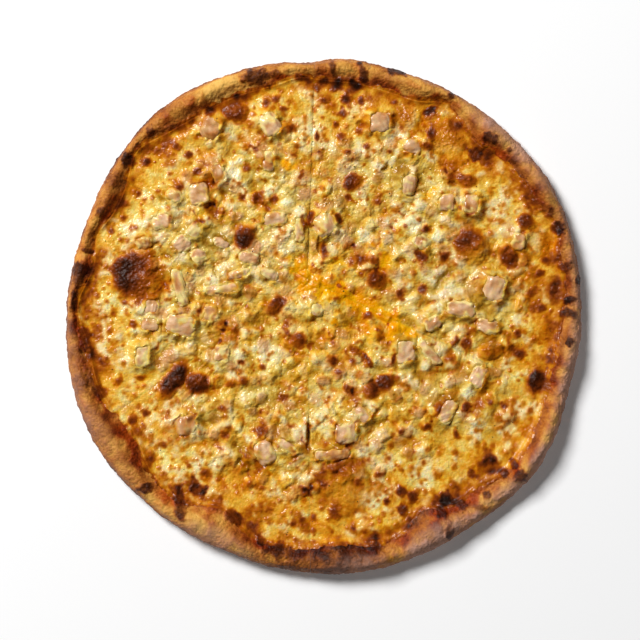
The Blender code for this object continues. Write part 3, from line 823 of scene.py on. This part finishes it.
toast += (0.10 + 0.26 * busy) * smooth(stirred(unevenness(2.0, 61), 0.8, 62, 2.0), 1.0, 2.2)
toast += 0.07 * busy * smooth(broad + 0.6 * lumps, 0.5, 1.8)
toast += (0.05 + 0.06 * busy) * stirred(unevenness(2.2, 65), 1.2, 66, 2.6)
milk = zone_map(MILK_ZONES) + 0.25 * busy
toast -= 0.05 * np.clip(milk, 0, 1)
toast = np.maximum(toast, 0.35 * toast + 0.80 * scorched)
halo = np.zeros_like(PLAN_X)
stretched = np.zeros_like(PLAN_X)  # where a bubble has drawn the cheese smooth
for blister in BLISTERS:
    soft = blister.tone < 0.55
    ragged = 0.20 if soft else 0.05 + 0.6 / blister.length
    where, distance = oval(*blister[:5], ragged=ragged, reach=1.9, rags=COARSE_RAGS)
    rise = 0.65 * blister.height * np.clip(1 - (distance / 1.15) ** 2, 0, None)
    raise_to(blister_rise, where, rise)
    side = heading(blister.dark_side) * 2 / blister.length
    lean = (PLAN_X[where] - blister.x) * side[0] + (PLAN_Y[where] - blister.y) * side[1]
    tone = 0.90 * blister.tone - 0.03 + 1.35 * blister.lean * lean + 0.04 * lumps[where] + 0.03 * curds[where]
    tone = np.minimum(tone, DARKEST_BLISTER)
    cover = fading(distance, 0.40 if soft else 0.62, 1.25)
    toast[where] = toast[where] * (1 - cover) + tone * cover
    raise_to(stretched, where, fading(distance, 0.8, 1.3))
    ring = smooth(distance, 0.75, 1.05) * fading(distance, 1.05, 1.6)
    raise_to(halo, where, 0.12 * ring)

# Small bubbles are scattered where no chicken lies, about one to each square of this side.
BUBBLE_SPACING = 4.4
small_bubbles = []
for x in np.arange(-140, 141, BUBBLE_SPACING):
    for y in np.arange(-140, 141, BUBBLE_SPACING):
        spot_x, spot_y = x + scatter.uniform(-2.4, 2.4), y + scatter.uniform(-2.4, 2.4)
        size, tone, luck = 1.6 + 2.4 * scatter.random() ** 1.6, scatter.uniform(0.22, 0.44), scatter.random()
        if read(from_edge, spot_x, spot_y) < 2.0 or read(stretched, spot_x, spot_y) > 0.3:
            continue
        room = 1 - 0.80 * read(busy, spot_x, spot_y) - 0.2 * read(milk, spot_x, spot_y)
        room *= 0.55 + 0.5 * read(clumps, spot_x, spot_y)
        if luck < room:
            small_bubbles.append(Bubble(spot_x, spot_y, size, size * scatter.uniform(0.75, 1.3), tone))

bubble_rise = np.zeros_like(PLAN_X)
for bubble in (*BUBBLES, *small_bubbles):
    where, distance = oval(*bubble[:4], bubble.turn, ragged=0.22, reach=2.4)
    size = (bubble.length + bubble.width) / 2
    dome = 0.13 * size**0.85 * np.clip(1 - (distance / 1.1) ** 2, 0, None) ** 0.8
    raise_to(bubble_rise, where, dome)
    cover = fading(distance, 0.50, 1.38)
    tone = 0.10 + 0.64 * bubble.tone + 0.12 * fading(distance, 0.0, 0.9) * (size > 3.4)
    raise_to(toast, where, toast[where] * (1 - cover) + tone * cover)
    raise_to(halo, where, 0.10 * fading(distance, 0.9, 2.1))
toast += halo
oil = zone_map(OIL_ZONES) * (0.85 + 0.35 * lumps) + 0.10 + 0.06 * broad + 0.9 * halo
oil += 0.30 * smooth(stirred(unevenness(3.0, 91), 1.5, 92, 3.0), 0.4, 1.8)
oil += 0.34 * smooth(-ridge, 0.0, 1.4) * (1 - 0.5 * np.clip(milk, 0, 1)) - 0.10 * smooth(ridge, 0.3, 1.8)

# A hollow is a gap between pieces where the sheet sinks: middle, length, width, turn and depth.
# Its darker colour is partly painted shade and partly the tint of the liquid that gathers there.
HOLLOWS = (
    (-72, 107, 6, 4, 20, 1.6), (-37, 108, 6, 5, 0, 1.8), (-95, 69, 7, 3, -30, 1.4),
    (-67, 83, 6, 4, 40, 1.6), (22, 113, 5, 4, 0, 1.6), (36, 87, 6, 3, 30, 1.4), (93, 16, 4, 8, 0, 1.6),
    (89, -4, 9, 3, 10, 1.4), (42, -28, 3, 9, 20, 1.4), (-12, 50, 2.5, 11, 0, 2.2),
    (-9, -72, 2.5, 16, 0, 1.8), (-3, 40, 3, 7, 10, 1.4), (-100, 42, 9, 3, 25, 1.4),
    (-78, 36, 4, 8, 30, 1.2), (-86, -13, 3, 9, 0, 1.3), (62, -8, 8, 3, -20, 1.2), (-58, 60, 6, 3, 60, 1.2),
    (-64, 26, 3, 8, 20, 1.2), (55, 84, 3, 7, -20, 1.3), (76, 78, 6, 4, 0, 1.4),
)  # fmt: skip
depth_of_hollows = np.zeros_like(PLAN_X)
for *spot, depth in HOLLOWS:
    where, distance = oval(*spot, ragged=0.25, reach=2.0)
    raise_to(depth_of_hollows, where, depth * fading(distance, 0.3, 1.3))
soft_ridge = 0.45 * clumps + 0.40 * lumps + (0.35 - 0.2 * busy) * curds
soft_ridge += 1.2 * (block_pale - 0.2) * busy + 0.8 * (shred - 0.15)

# The looks: whey between pieces, creamy crests, bare meat, pools of oil, and painted shade with a darker
# liquid tint in hollows, gaps and creases. Browned places show little of them.
# Painted shade and a liquid tint: darker in valleys, hollows, gaps between dice, creases, round chicken.
gap_shade_and_liquid = (0.12 + 0.50 * busy) * smooth(-ridge, 0.3, 2.0) + 0.5 * depth_of_hollows
gap_shade_and_liquid += 0.22 * busy * fading(block_rise, 0.0, 0.9) * np.clip(0.8 - 0.5 * shred, 0, 1)
gap_shade_and_liquid += (0.08 + 0.25 * busy) * folds
# Painted shade round the chicken's pieces, where they rise from the sheet.
gap_shade_and_liquid += 0.26 * fading(chicken_away, 0.3, 3.4) * np.clip(0.25 + 0.8 * lumps, 0, 1)
whey = np.clip(milk, 0, 1) * smooth(0.6 - soft_ridge, 0.0, 1.8)
cream = np.clip(0.62 + milk, 0, 1) * smooth(soft_ridge, -0.25, 0.9) * fading(toast, 0.22, 0.40)
whey *= fading(toast, 0.3, 0.5)
meat *= fading(toast, 0.35, 0.55)
oil *= 1 - 0.7 * smooth(toast, 0.35, 0.6)
gap_shade_and_liquid *= 1 - 0.6 * smooth(toast, 0.4, 0.6)
pooled = zone_map(POOLS, 0.4) * np.clip(0.8 - 0.35 * soft_ridge - 0.10 * curds, 0, 1.2)
pooled *= fading(toast, 0.4, 0.6)
oil = np.maximum(oil, smooth(pooled, 0.0, 0.8))
for look in (cream, whey, meat, gap_shade_and_liquid):
    look *= fading(pooled, 0.0, 0.7)
toast += (0.13 + 0.06 * lumps - toast) * smooth(pooled, 0.2, 0.9) * (toast < 0.45)

# The cuts: grooves that have partly melted shut again, deepest along the upright pass.
CUT_DEPTHS = (0.18, 1.5, 0.45, 0.15, 1.4, 0.18)
CUT_SPREADS = (0.8, 1.2, 0.9, 0.8, 1.0, 0.9)
# Along the upright pass: places and how far it has stayed open there.
OPEN_AT = (-150, -110, -92, -84, -66, -58, -40, 30, 44, 56, 64, 92, 105, 150)
OPENNESS = (0.6, 0.5, 0.5, 1.2, 1.2, 0.3, 0.08, 0.12, 1.3, 1.0, 0.22, 0.15, 0.22, 0.2)
groove = np.zeros_like(PLAN_X)
for angle, depth, spread in zip(CUT_ANGLES, CUT_DEPTHS, CUT_SPREADS):
    along_cut = heading(angle)
    off_x, off_y = PLAN_X - CUT_CROSSING[0], PLAN_Y - CUT_CROSSING[1]
    ahead = off_x * along_cut[0] + off_y * along_cut[1]
    beside = off_y * along_cut[0] - off_x * along_cut[1]
    beside = np.hypot(beside, np.minimum(ahead, 0))
    cut = depth * np.exp(-((beside / spread) ** 2)) * np.clip(0.8 + 0.35 * lumps, 0.2, 1.4)
    if depth > 1:
        cut *= np.interp(PLAN_Y, OPEN_AT, OPENNESS) * np.clip(0.8 + 0.7 * clumps + 0.3 * curds, 0, 1.5)
    groove = np.maximum(groove, cut)
# The slice on the right of the upright pass has sunk a little beside it.
right_of_cut = PLAN_X - (CUT_CROSSING[0] + (PLAN_Y - CUT_CROSSING[1]) * math.tan(math.radians(2.0)))
sunk = smooth(PLAN_Y, 28.0, 42.0) - 0.75 * smooth(PLAN_Y, 56.0, 74.0)
sunk *= np.exp(-((right_of_cut / 4.0) ** 2)) * (right_of_cut > 0)
# Painted shade in the deeper cut grooves.
gap_shade_and_liquid += 0.35 * groove * (groove > 0.5)

# The height of the sheet with all of this on it.
sheet = CHEESE_EDGE_TOP + (CHEESE_TOP - CHEESE_EDGE_TOP) * inside
sheet += inside * (CHEESE_LUMP * sheet_lump + mound + blister_rise + block_rise)
sheet += relief * (1 - 0.93 * stretched) * (1 - 0.5 * np.clip(2 * toasted, 0, 1)) * (1 - 0.3 * pooled)
sheet += bubble_rise
sheet += (0.05 * curds + 0.09 * crumbs + 0.05 * grains) * np.clip(blister_rise, 0, 1.5) - depth_of_hollows
sheet -= groove + sunk

# Cheese hangs on the sides of the chicken, and here and there it covers a piece's top.
veil = stirred(unevenness(2.6, 51), 0.8, 52, 2.6) + 0.35 * curds
cling = np.maximum(0.9 - 0.85 * veil + 0.1 * crumbs, -0.3)
cling += (np.maximum(cling, 1.3) - cling) * smooth(-chicken_away, 0.7, 2.4)
draped = chicken_tops - cling
outside = np.clip(chicken_away - 0.1, 0, None)
slope = np.exp(-((outside / 2.5) ** 1.5))
cheese_top = np.where(chicken_away < DRAPE_REACH, np.maximum(sheet, sheet + (draped - sheet) * slope), sheet)


def slice_outline(number, turn):
    """Direction and distance from a slice's tip to the cheese's end, at shares of its turn."""
    tip = slice_tip(number, CHEESE_GAPS)
    angle = np.radians(CUT_ANGLES[number] + (CUT_ANGLES[number + 1] - CUT_ANGLES[number]) * turn)
    reach = np.full_like(angle, 140.0)
    for _ in range(12):
        x, y = tip[0] + reach * np.cos(angle), tip[1] + reach * np.sin(angle)
        around, out = bearing(x, y)
        reach += crust_radius(around) - rim_width(around) - GAP + CHEESE_OVERLAP - out
    return angle, reach


cream, whey, gap_shade_and_liquid, meat, oil = (softened(look, 6) for look in (cream, whey, gap_shade_and_liquid, meat, oil))
toast = softened(toast, 2)
CHEESE_LOOKS = {"oil": oil, "toast": toast, "cream": cream, "whey": whey, "gap_shade_and_liquid": gap_shade_and_liquid, "meat": meat}
FILM_FADE = 2.0  # how far inside the edge the film stops following the rim
FILM_END = 4.0  # how far inside the edge the film has become the sheet


def add_film(height, x, y):
    """Draws the edge of the sheet up the foot of the rim as a film that thins out."""
    edge, film = read(from_edge, x, y), read(climb, x, y)
    film = np.where(edge < 0.3 - CHEESE_OVERLAP, np.minimum(film, -0.3), film)
    around = bearing(x, y)[0]
    beyond = np.maximum(edge + 0.6, 0)
    over_x, over_y = x + beyond * np.cos(around), y + beyond * np.sin(around)
    follow, share = np.clip((edge / FILM_FADE, edge / FILM_END), 0, 1)
    for index in np.flatnonzero(edge < FILM_END):
        hit = crust_tree.ray_cast(Vector((over_x[index], over_y[index], FAR_OFF)) * MM, DOWN)[0]
        foot = max(hit.z / MM, LIP_HEIGHT) if hit else LIP_HEIGHT
        climbed = LIP_HEIGHT + (foot - LIP_HEIGHT) * (1 - follow[index]) + film[index]
        height[index] = height[index] * share[index] + climbed * (1 - share[index])


def make_cheese_slice(number):
    """One slice's sheet: a triangle divided finely, opened out to the slice's outline, raised
    to the cheese's relief and given sides and an underside."""
    bm = bmesh.new()
    bm.faces.new([bm.verts.new(corner) for corner in ((0, 0, 0), (1, 0, 0), (1, 1, 0))])
    bmesh.ops.subdivide_edges(bm, edges=bm.edges[:], cuts=CHEESE_ROWS - 1, use_grid_fill=True)
    skirt = bmesh.ops.extrude_edge_only(bm, edges=[edge for edge in bm.edges if edge.is_boundary])
    for item in skirt["geom"]:
        if isinstance(item, bmesh.types.BMVert):
            item.co.z = -1.0
    fill_holes(bm)
    mesh = bpy.data.meshes.new("cheese_sheet")
    bm.to_mesh(mesh)

    places = vertex_places(mesh)
    row, lower = places[:, 0], places[:, 2] < -0.5
    turn = np.where(row > 0, places[:, 1] / np.maximum(row, 1e-9), 0.5)
    angle, reach = slice_outline(number, turn)
    tip = slice_tip(number, CHEESE_GAPS)
    reach = np.where(lower, np.minimum(reach * row, reach - CHEESE_OVERLAP), reach * row)
    x, y = tip[0] + reach * np.cos(angle), tip[1] + reach * np.sin(angle)
    height = read(cheese_top, x, y)
    add_film(height, x, y)
    set_places(mesh, np.stack((x, y, np.where(lower, CHEESE_BOTTOM, height)), axis=1) * MM)
    for label, plan in CHEESE_LOOKS.items():
        there = np.where(lower & (label == "oil"), 1.0, read(plan, x, y))
        set_mask(mesh, label, np.clip(there, 0, 1))
    bm.clear()
    bm.from_mesh(mesh)
    bmesh.ops.recalc_face_normals(bm, faces=bm.faces)
    bpy.data.meshes.remove(mesh)
    return bm


CHEESE_TONES = (
    (0, 252, 230, 146), (0.13, 245, 208, 102), (0.26, 233, 174, 52), (0.4, 205, 129, 17),
    (0.54, 168, 86, 10), (0.7, 118, 50, 9), (0.85, 68, 27, 7), (1, 34, 14, 5),
)  # fmt: skip
# Ways to tint the cheese, untouched to full: soaked with oil, and painted shade with liquid in hollows.
OIL_TINTS = (
    (0, 255, 255, 255), (0.25, 255, 245, 212), (0.5, 255, 232, 160), (0.75, 255, 218, 84),
    (1, 255, 204, 24),
)  # fmt: skip
GAP_SHADE_AND_LIQUID_TINTS = (
    (0, 255, 255, 255), (0.25, 233, 221, 180), (0.5, 212, 190, 124), (0.75, 193, 163, 84),
    (1, 172, 136, 52),
)  # fmt: skip


def make_cheese_material():
    material, tree, shader = new_food_material(
        "melted_cheese", Coat_Roughness=0.12, Specular_IOR_Level=0.12,
        Subsurface_Weight=0.5, Subsurface_Radius=(1.0, 0.7, 0.25), Subsurface_Scale=1.5 * MM,
    )  # fmt: skip
    doneness, grain = mottled(tree, mask_of(tree, "toast"), 1.8, 0.12, 1.1, 0.05)
    tint = colour_ramp(tree, doneness, CHEESE_TONES)
    tint = blend_colour(tree, mask_of(tree, "cream"), tint, colour(251, 238, 196))
    tint = blend_colour(tree, mask_of(tree, "meat"), tint, colour(216, 164, 112))
    whey_share = arithmetic(tree, "MULTIPLY", mask_of(tree, "whey"), 0.85)
    tint = blend_colour(tree, whey_share, tint, colour(186, 162, 82))
    oily = mask_of(tree, "oil")
    # The second tint is painted shade, with a liquid tint, in hollows, gaps and creases.
    for share, tints in ((oily, OIL_TINTS), (mask_of(tree, "gap_shade_and_liquid"), GAP_SHADE_AND_LIQUID_TINTS)):
        tint = blend_colour(tree, 1.0, tint, colour_ramp(tree, share, tints), "MULTIPLY")
    tree.links.new(tint, shader.inputs["Base Color"])
    rough = arithmetic(tree, "SUBTRACT", 0.42, arithmetic(tree, "MULTIPLY", oily, 0.18))
    tree.links.new(rough, shader.inputs["Roughness"])
    dry = arithmetic(tree, "MULTIPLY", doneness, 0.58, clamp=True)
    tree.links.new(arithmetic(tree, "SUBTRACT", 0.45, dry, clamp=True), shader.inputs["Coat Weight"])
    cooked = arithmetic(tree, "MULTIPLY", mask_of(tree, "toast"), 1.5)
    uncooked = arithmetic(tree, "SUBTRACT", 1.15, cooked, clamp=True)
    ripple = arithmetic(tree, "SUBTRACT", grain, 0.5)
    add_bump(tree, shader, arithmetic(tree, "MULTIPLY", ripple, uncooked), 0.46)
    return material


melted_cheese = make_cheese_material()
for number in range(6):
    sheet_piece = finish_mesh(make_cheese_slice(number), f"cheese_slice_{number + 1}", melted_cheese)
    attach(sheet_piece, "root")
    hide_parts(f"cheese_{number + 1}")

# ---- Chicken: diced breast
# Cooked breast cut into half-inch dice and strewn on before baking. The pieces are sunk in
# the cheese, which clings to their sides; their tops have dried and browned a little.

CHICKEN_FIBRE = 0.34
CHICKEN_LUMP = 0.70
CHICKEN_KNOB = 0.28
USUAL_COAT = 0.85

# Pieces whose look stands out: place, browning and how thickly cheese coats the top.
KNOWN_PIECES = (
    (-66, 110, 0.45, 0.2), (33, 114, 0.12, 0.1), (-80, -64, 0.4, 0.4), (-103, 7, 0, 0.1),
    (-103, -4, 0.45, 0.3), (-84, -5, 0.15, 0.9), (100, 17, 0.1, 0.3), (48, -20, 0.1, 0.5),
    (1, 45, 0.2, 0.4), (-98, 108, 0.6, 0.3),
)  # fmt: skip
ALL_AXES = {"use_axis_x": True, "use_axis_y": True, "use_axis_z": True}


def vertex_span(bm):
    """The middle and the size of the box round a mesh."""
    low = Vector(min(vert.co[axis] for vert in bm.verts) for axis in range(3))
    high = Vector(max(vert.co[axis] for vert in bm.verts) for axis in range(3))
    return (low + high) / 2, high - low


def soften(bm):
    """Divides a solid finely and rounds its corners, and keeps the size of its box."""
    middle, size = vertex_span(bm)
    for rounds in (2, 2, 1):
        bmesh.ops.subdivide_edges(bm, edges=bm.edges[:], cuts=1, use_grid_fill=True)
        for _ in range(rounds):
            bmesh.ops.smooth_vert(bm, verts=bm.verts, factor=0.5, **ALL_AXES)
    shrunk_middle, shrunk_size = vertex_span(bm)
    growth = [big / small for big, small in zip(size, shrunk_size)]
    bmesh.ops.translate(bm, verts=bm.verts, vec=-shrunk_middle)
    bmesh.ops.scale(bm, verts=bm.verts, vec=growth)
    bmesh.ops.translate(bm, verts=bm.verts, vec=middle)
    bm.normal_update()


def tear_fibres(bm, along, offset, browned):
    """Raises fibres, lumps and knobs, and keeps how fibrous and how brown each place is."""
    fibre_layer = bm.verts.layers.float.new("fibre")
    brown_layer = bm.verts.layers.float.new("brown")
    moves = []
    for vert in bm.verts:
        place = along @ (vert.co / MM) + offset
        fibre = noise.noise(Vector((place.x / 6.0, place.y / 1.1, place.z / 1.1)))
        lump = noise.noise(place / 4.0)
        knob = noise.noise(place / 1.9)
        moves.append((CHICKEN_FIBRE * fibre + CHICKEN_LUMP * lump + CHICKEN_KNOB * knob) * MM)
        vert[fibre_layer] = 0.5 + fibre
        vert[brown_layer] = min(max(browned + 0.7 * noise.noise(place / 5.0 + offset), 0.0), 1.0)
    for vert, move in zip(bm.verts, moves):
        vert.co += vert.normal * move


def add_cheese_coat(bm, thickness):
    """Raises the places where cheese clings and keeps the look that it has there."""
    x, y, z = (np.array([vert.co[axis] for vert in bm.verts]) / MM for axis in range(3))
    sunk_share = smooth(read(sheet, x, y) + 1.3 + 0.9 * read(curds, x, y) - z, 0.0, 1.8)
    patchy = smooth(read(veil, x, y), 0.0, 1.5)
    depth_in = -read(chicken_away, x, y) - 0.5 * read(curds, x, y) - 0.4 * read(lumps, x, y)
    coat = np.maximum(sunk_share, thickness * np.maximum(patchy, fading(depth_in, 0.2, 2.0)))
    bm.normal_update()
    # Sides darker than tops: partly browning, partly painted shade.
    side_browning_and_shade = fading(np.array([vert.normal.z for vert in bm.verts]), 0.15, 0.85)
    masks = {"coat": coat, "toast": read(toast, x, y) - 0.02, "cream": read(cream, x, y), "side": side_browning_and_shade}
    layers = [bm.verts.layers.float.new(label) for label in masks]
    raised = 0.22 * coat + 0.10 * coat * read(curds, x, y)
    for vert, rise, *values in zip(bm.verts, raised, *masks.values()):
        vert.co += vert.normal * float(rise) * MM
        for layer, value in zip(layers, values):
            vert[layer] = min(max(value, 0.0), 1.0)


def make_chicken(name, draw):
    """A piece of chicken: its solid, softened and torn, with cheese clinging to it."""
    bm = bmesh.new()
    bm.from_mesh(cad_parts[name].data)
    bmesh.ops.remove_doubles(bm, verts=bm.verts, dist=1e-6)
    middle = vertex_span(bm)[0] / MM
    soften(bm)
    turn, tilt = draw.uniform((0, -0.5), (math.tau, 0.5))
    along = Matrix.Rotation(turn, 3, "Z") @ Matrix.Rotation(tilt, 3, "Y")
    offset = Vector(draw.uniform(-50, 50, 3).tolist())
    browned, thickness = draw.uniform(0.0, 0.45), USUAL_COAT
    for x, y, known_brown, known_coat in KNOWN_PIECES:
        if math.hypot(middle.x - x, middle.y - y) < 5:
            browned, thickness = known_brown, known_coat
    tear_fibres(bm, along, offset, browned)
    add_cheese_coat(bm, thickness)
    return bm


CHICKEN_TONES = ((0, 238, 198, 154), (0.35, 220, 168, 114), (0.65, 204, 134, 64), (1, 116, 58, 20))


def make_chicken_material():
    material, tree, shader = new_food_material(
        "diced_chicken", Coat_Weight=0.45, Coat_Roughness=0.12, Specular_IOR_Level=0.2,
        Subsurface_Weight=0.2, Subsurface_Radius=(1.0, 0.5, 0.3), Subsurface_Scale=1.0 * MM,
    )  # fmt: skip
    doneness, grain = mottled(tree, mask_of(tree, "brown"), 3.0, 0.36, 0.8, 0.12)
    meat = colour_ramp(tree, doneness, CHICKEN_TONES)
    # Sides darker and tanner than tops: partly browning, partly painted shade.
    meat = blend_colour(tree, mask_of(tree, "side"), meat, colour(240, 210, 170), "MULTIPLY")
    fibre = arithmetic(tree, "MULTIPLY", mask_of(tree, "fibre"), 0.35)
    meat = blend_colour(tree, fibre, meat, colour(200, 140, 104), "MULTIPLY")
    cheesy, _ = mottled(tree, mask_of(tree, "toast"), 1.8, 0.12, 0.7, 0.08)
    coated = colour_ramp(tree, cheesy, CHEESE_TONES)
    coated = blend_colour(tree, mask_of(tree, "cream"), coated, colour(244, 222, 150))
    tint = blend_colour(tree, mask_of(tree, "coat"), meat, coated)
    tree.links.new(tint, shader.inputs["Base Color"])
    rough = arithmetic(tree, "ADD", 0.34, arithmetic(tree, "MULTIPLY", grain, 0.2))
    tree.links.new(rough, shader.inputs["Roughness"])
    add_bump(tree, shader, grain, 0.25, 0.7)
    return material


chicken_material = make_chicken_material()
for order, name in enumerate(chicken_nodes):
    shape = make_chicken(name, np.random.default_rng(300 + order))
    piece = finish_mesh(shape, f"diced_{name}", chicken_material)
    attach(piece, "root")
    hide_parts(name)

# ---- Herbs and pepper: flecks strewn over the cheese
# Dried herb leaves and cracked pepper, half a millimetre to a millimetre across, lie on
# the cheese where they fell.

FLECK_COUNT = 260


def make_flecks():
    bm = bmesh.new()
    draw = np.random.default_rng(5)
    while len(bm.verts) < 12 * FLECK_COUNT:
        x, y = draw.uniform(-140, 140, 2)
        if read(from_edge, x, y) < 3 or draw.random() > 0.35 + 0.65 * read(crowd, x, y):
            continue
        size = draw.uniform(0.2, 0.45)
        z = read(cheese_top, x, y) + 0.05
        shape = Matrix.Diagonal((*(size * draw.uniform(0.4, 1.4, 2)), 0.25 * size, 1.0))
        turn, tilt = draw.uniform((0, -0.6), (math.tau, 0.6))
        turned = Matrix.Rotation(turn, 4, "Z") @ Matrix.Rotation(tilt, 4, "X")
        place = Matrix.Scale(MM, 4) @ Matrix.Translation((x, y, z)) @ turned @ shape
        bmesh.ops.create_icosphere(bm, subdivisions=1, radius=1.0, matrix=place)
    return bm


def make_fleck_material():
    material, tree, shader = new_food_material("dried_herb", Roughness=0.8, Specular_IOR_Level=0.15)
    place = node(tree, "ShaderNodeTexCoord").outputs["Object"]
    wave = node(tree, "ShaderNodeTexNoise", {"Vector": place, "Scale": 0.2 / MM})
    tint = colour_ramp(tree, wave.outputs[0], ((0.42, 52, 34, 14), (0.6, 98, 82, 28)))
    tree.links.new(tint, shader.inputs["Base Color"])
    return material


flecks = finish_mesh(make_flecks(), "herb_flecks", make_fleck_material())
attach(flecks, "root")

# ---- Setting: floor, camera and lights
# A plain white floor, a camera straight above, a soft light from the upper left and an
# even light from all round.

VIEW_WIDTH = 376.8
VIEW_MIDDLE = (-2.2, -2.2)
CAMERA_HEIGHT = 1800.0
VIEW_LEVEL = 9.0  # the height at which the view is that wide
SENSOR_WIDTH = 36.0
FLOOR_DROP = 0.4
LAMP_PLACE = Vector((-1.8, 1.8, 2.7))
GLOW_BELOW = 1.15  # the even light's strength from the horizon
GLOW_ABOVE = 0.14  # and from straight above

bm = bmesh.new()
bmesh.ops.create_grid(bm, x_segments=1, y_segments=1, size=4.0)
bmesh.ops.translate(bm, verts=bm.verts, vec=(0, 0, -FLOOR_DROP * MM))
floor_material = new_food_material(
    "white_floor", Roughness=0.8, Base_Color=(0.97, 0.97, 0.97, 1),
    Emission_Color=(1, 1, 1, 1), Emission_Strength=0.10,
)[0]  # fmt: skip
floor = finish_mesh(bm, "floor", floor_material)

camera_data = bpy.data.cameras.new("camera")
camera_data.sensor_width = SENSOR_WIDTH
camera_data.lens = SENSOR_WIDTH * (CAMERA_HEIGHT - VIEW_LEVEL) / VIEW_WIDTH
camera_data.clip_end = 20.0
camera = bpy.data.objects.new("camera", camera_data)
camera.location = Vector((*VIEW_MIDDLE, CAMERA_HEIGHT)) * MM
bpy.context.scene.collection.objects.link(camera)
bpy.context.scene.camera = camera

lamp_data = bpy.data.lights.new("key_light", "AREA")
lamp_data.shape = "SQUARE"
lamp_data.size = 1.2
lamp_data.energy = 173.0
lamp = bpy.data.objects.new("key_light", lamp_data)
lamp.location = LAMP_PLACE
lamp.rotation_mode = "QUATERNION"
lamp.rotation_quaternion = (-LAMP_PLACE).to_track_quat("-Z", "Y")
bpy.context.scene.collection.objects.link(lamp)

world = bpy.data.worlds.new("studio")
world.use_nodes = True
sky = world.node_tree
view = node(sky, "ShaderNodeTexCoord").outputs["Generated"]
upward = node(sky, "ShaderNodeSeparateXYZ", {0: view}).outputs[2]
glow = node(sky, "ShaderNodeMapRange", {0: upward, 1: 0.0, 2: 1.0, 3: GLOW_BELOW, 4: GLOW_ABOVE}).outputs[0]
sky.links.new(glow, sky.nodes["Background"].inputs[1])
bpy.context.scene.world = world
bpy.context.scene.view_settings.view_transform = "Standard"
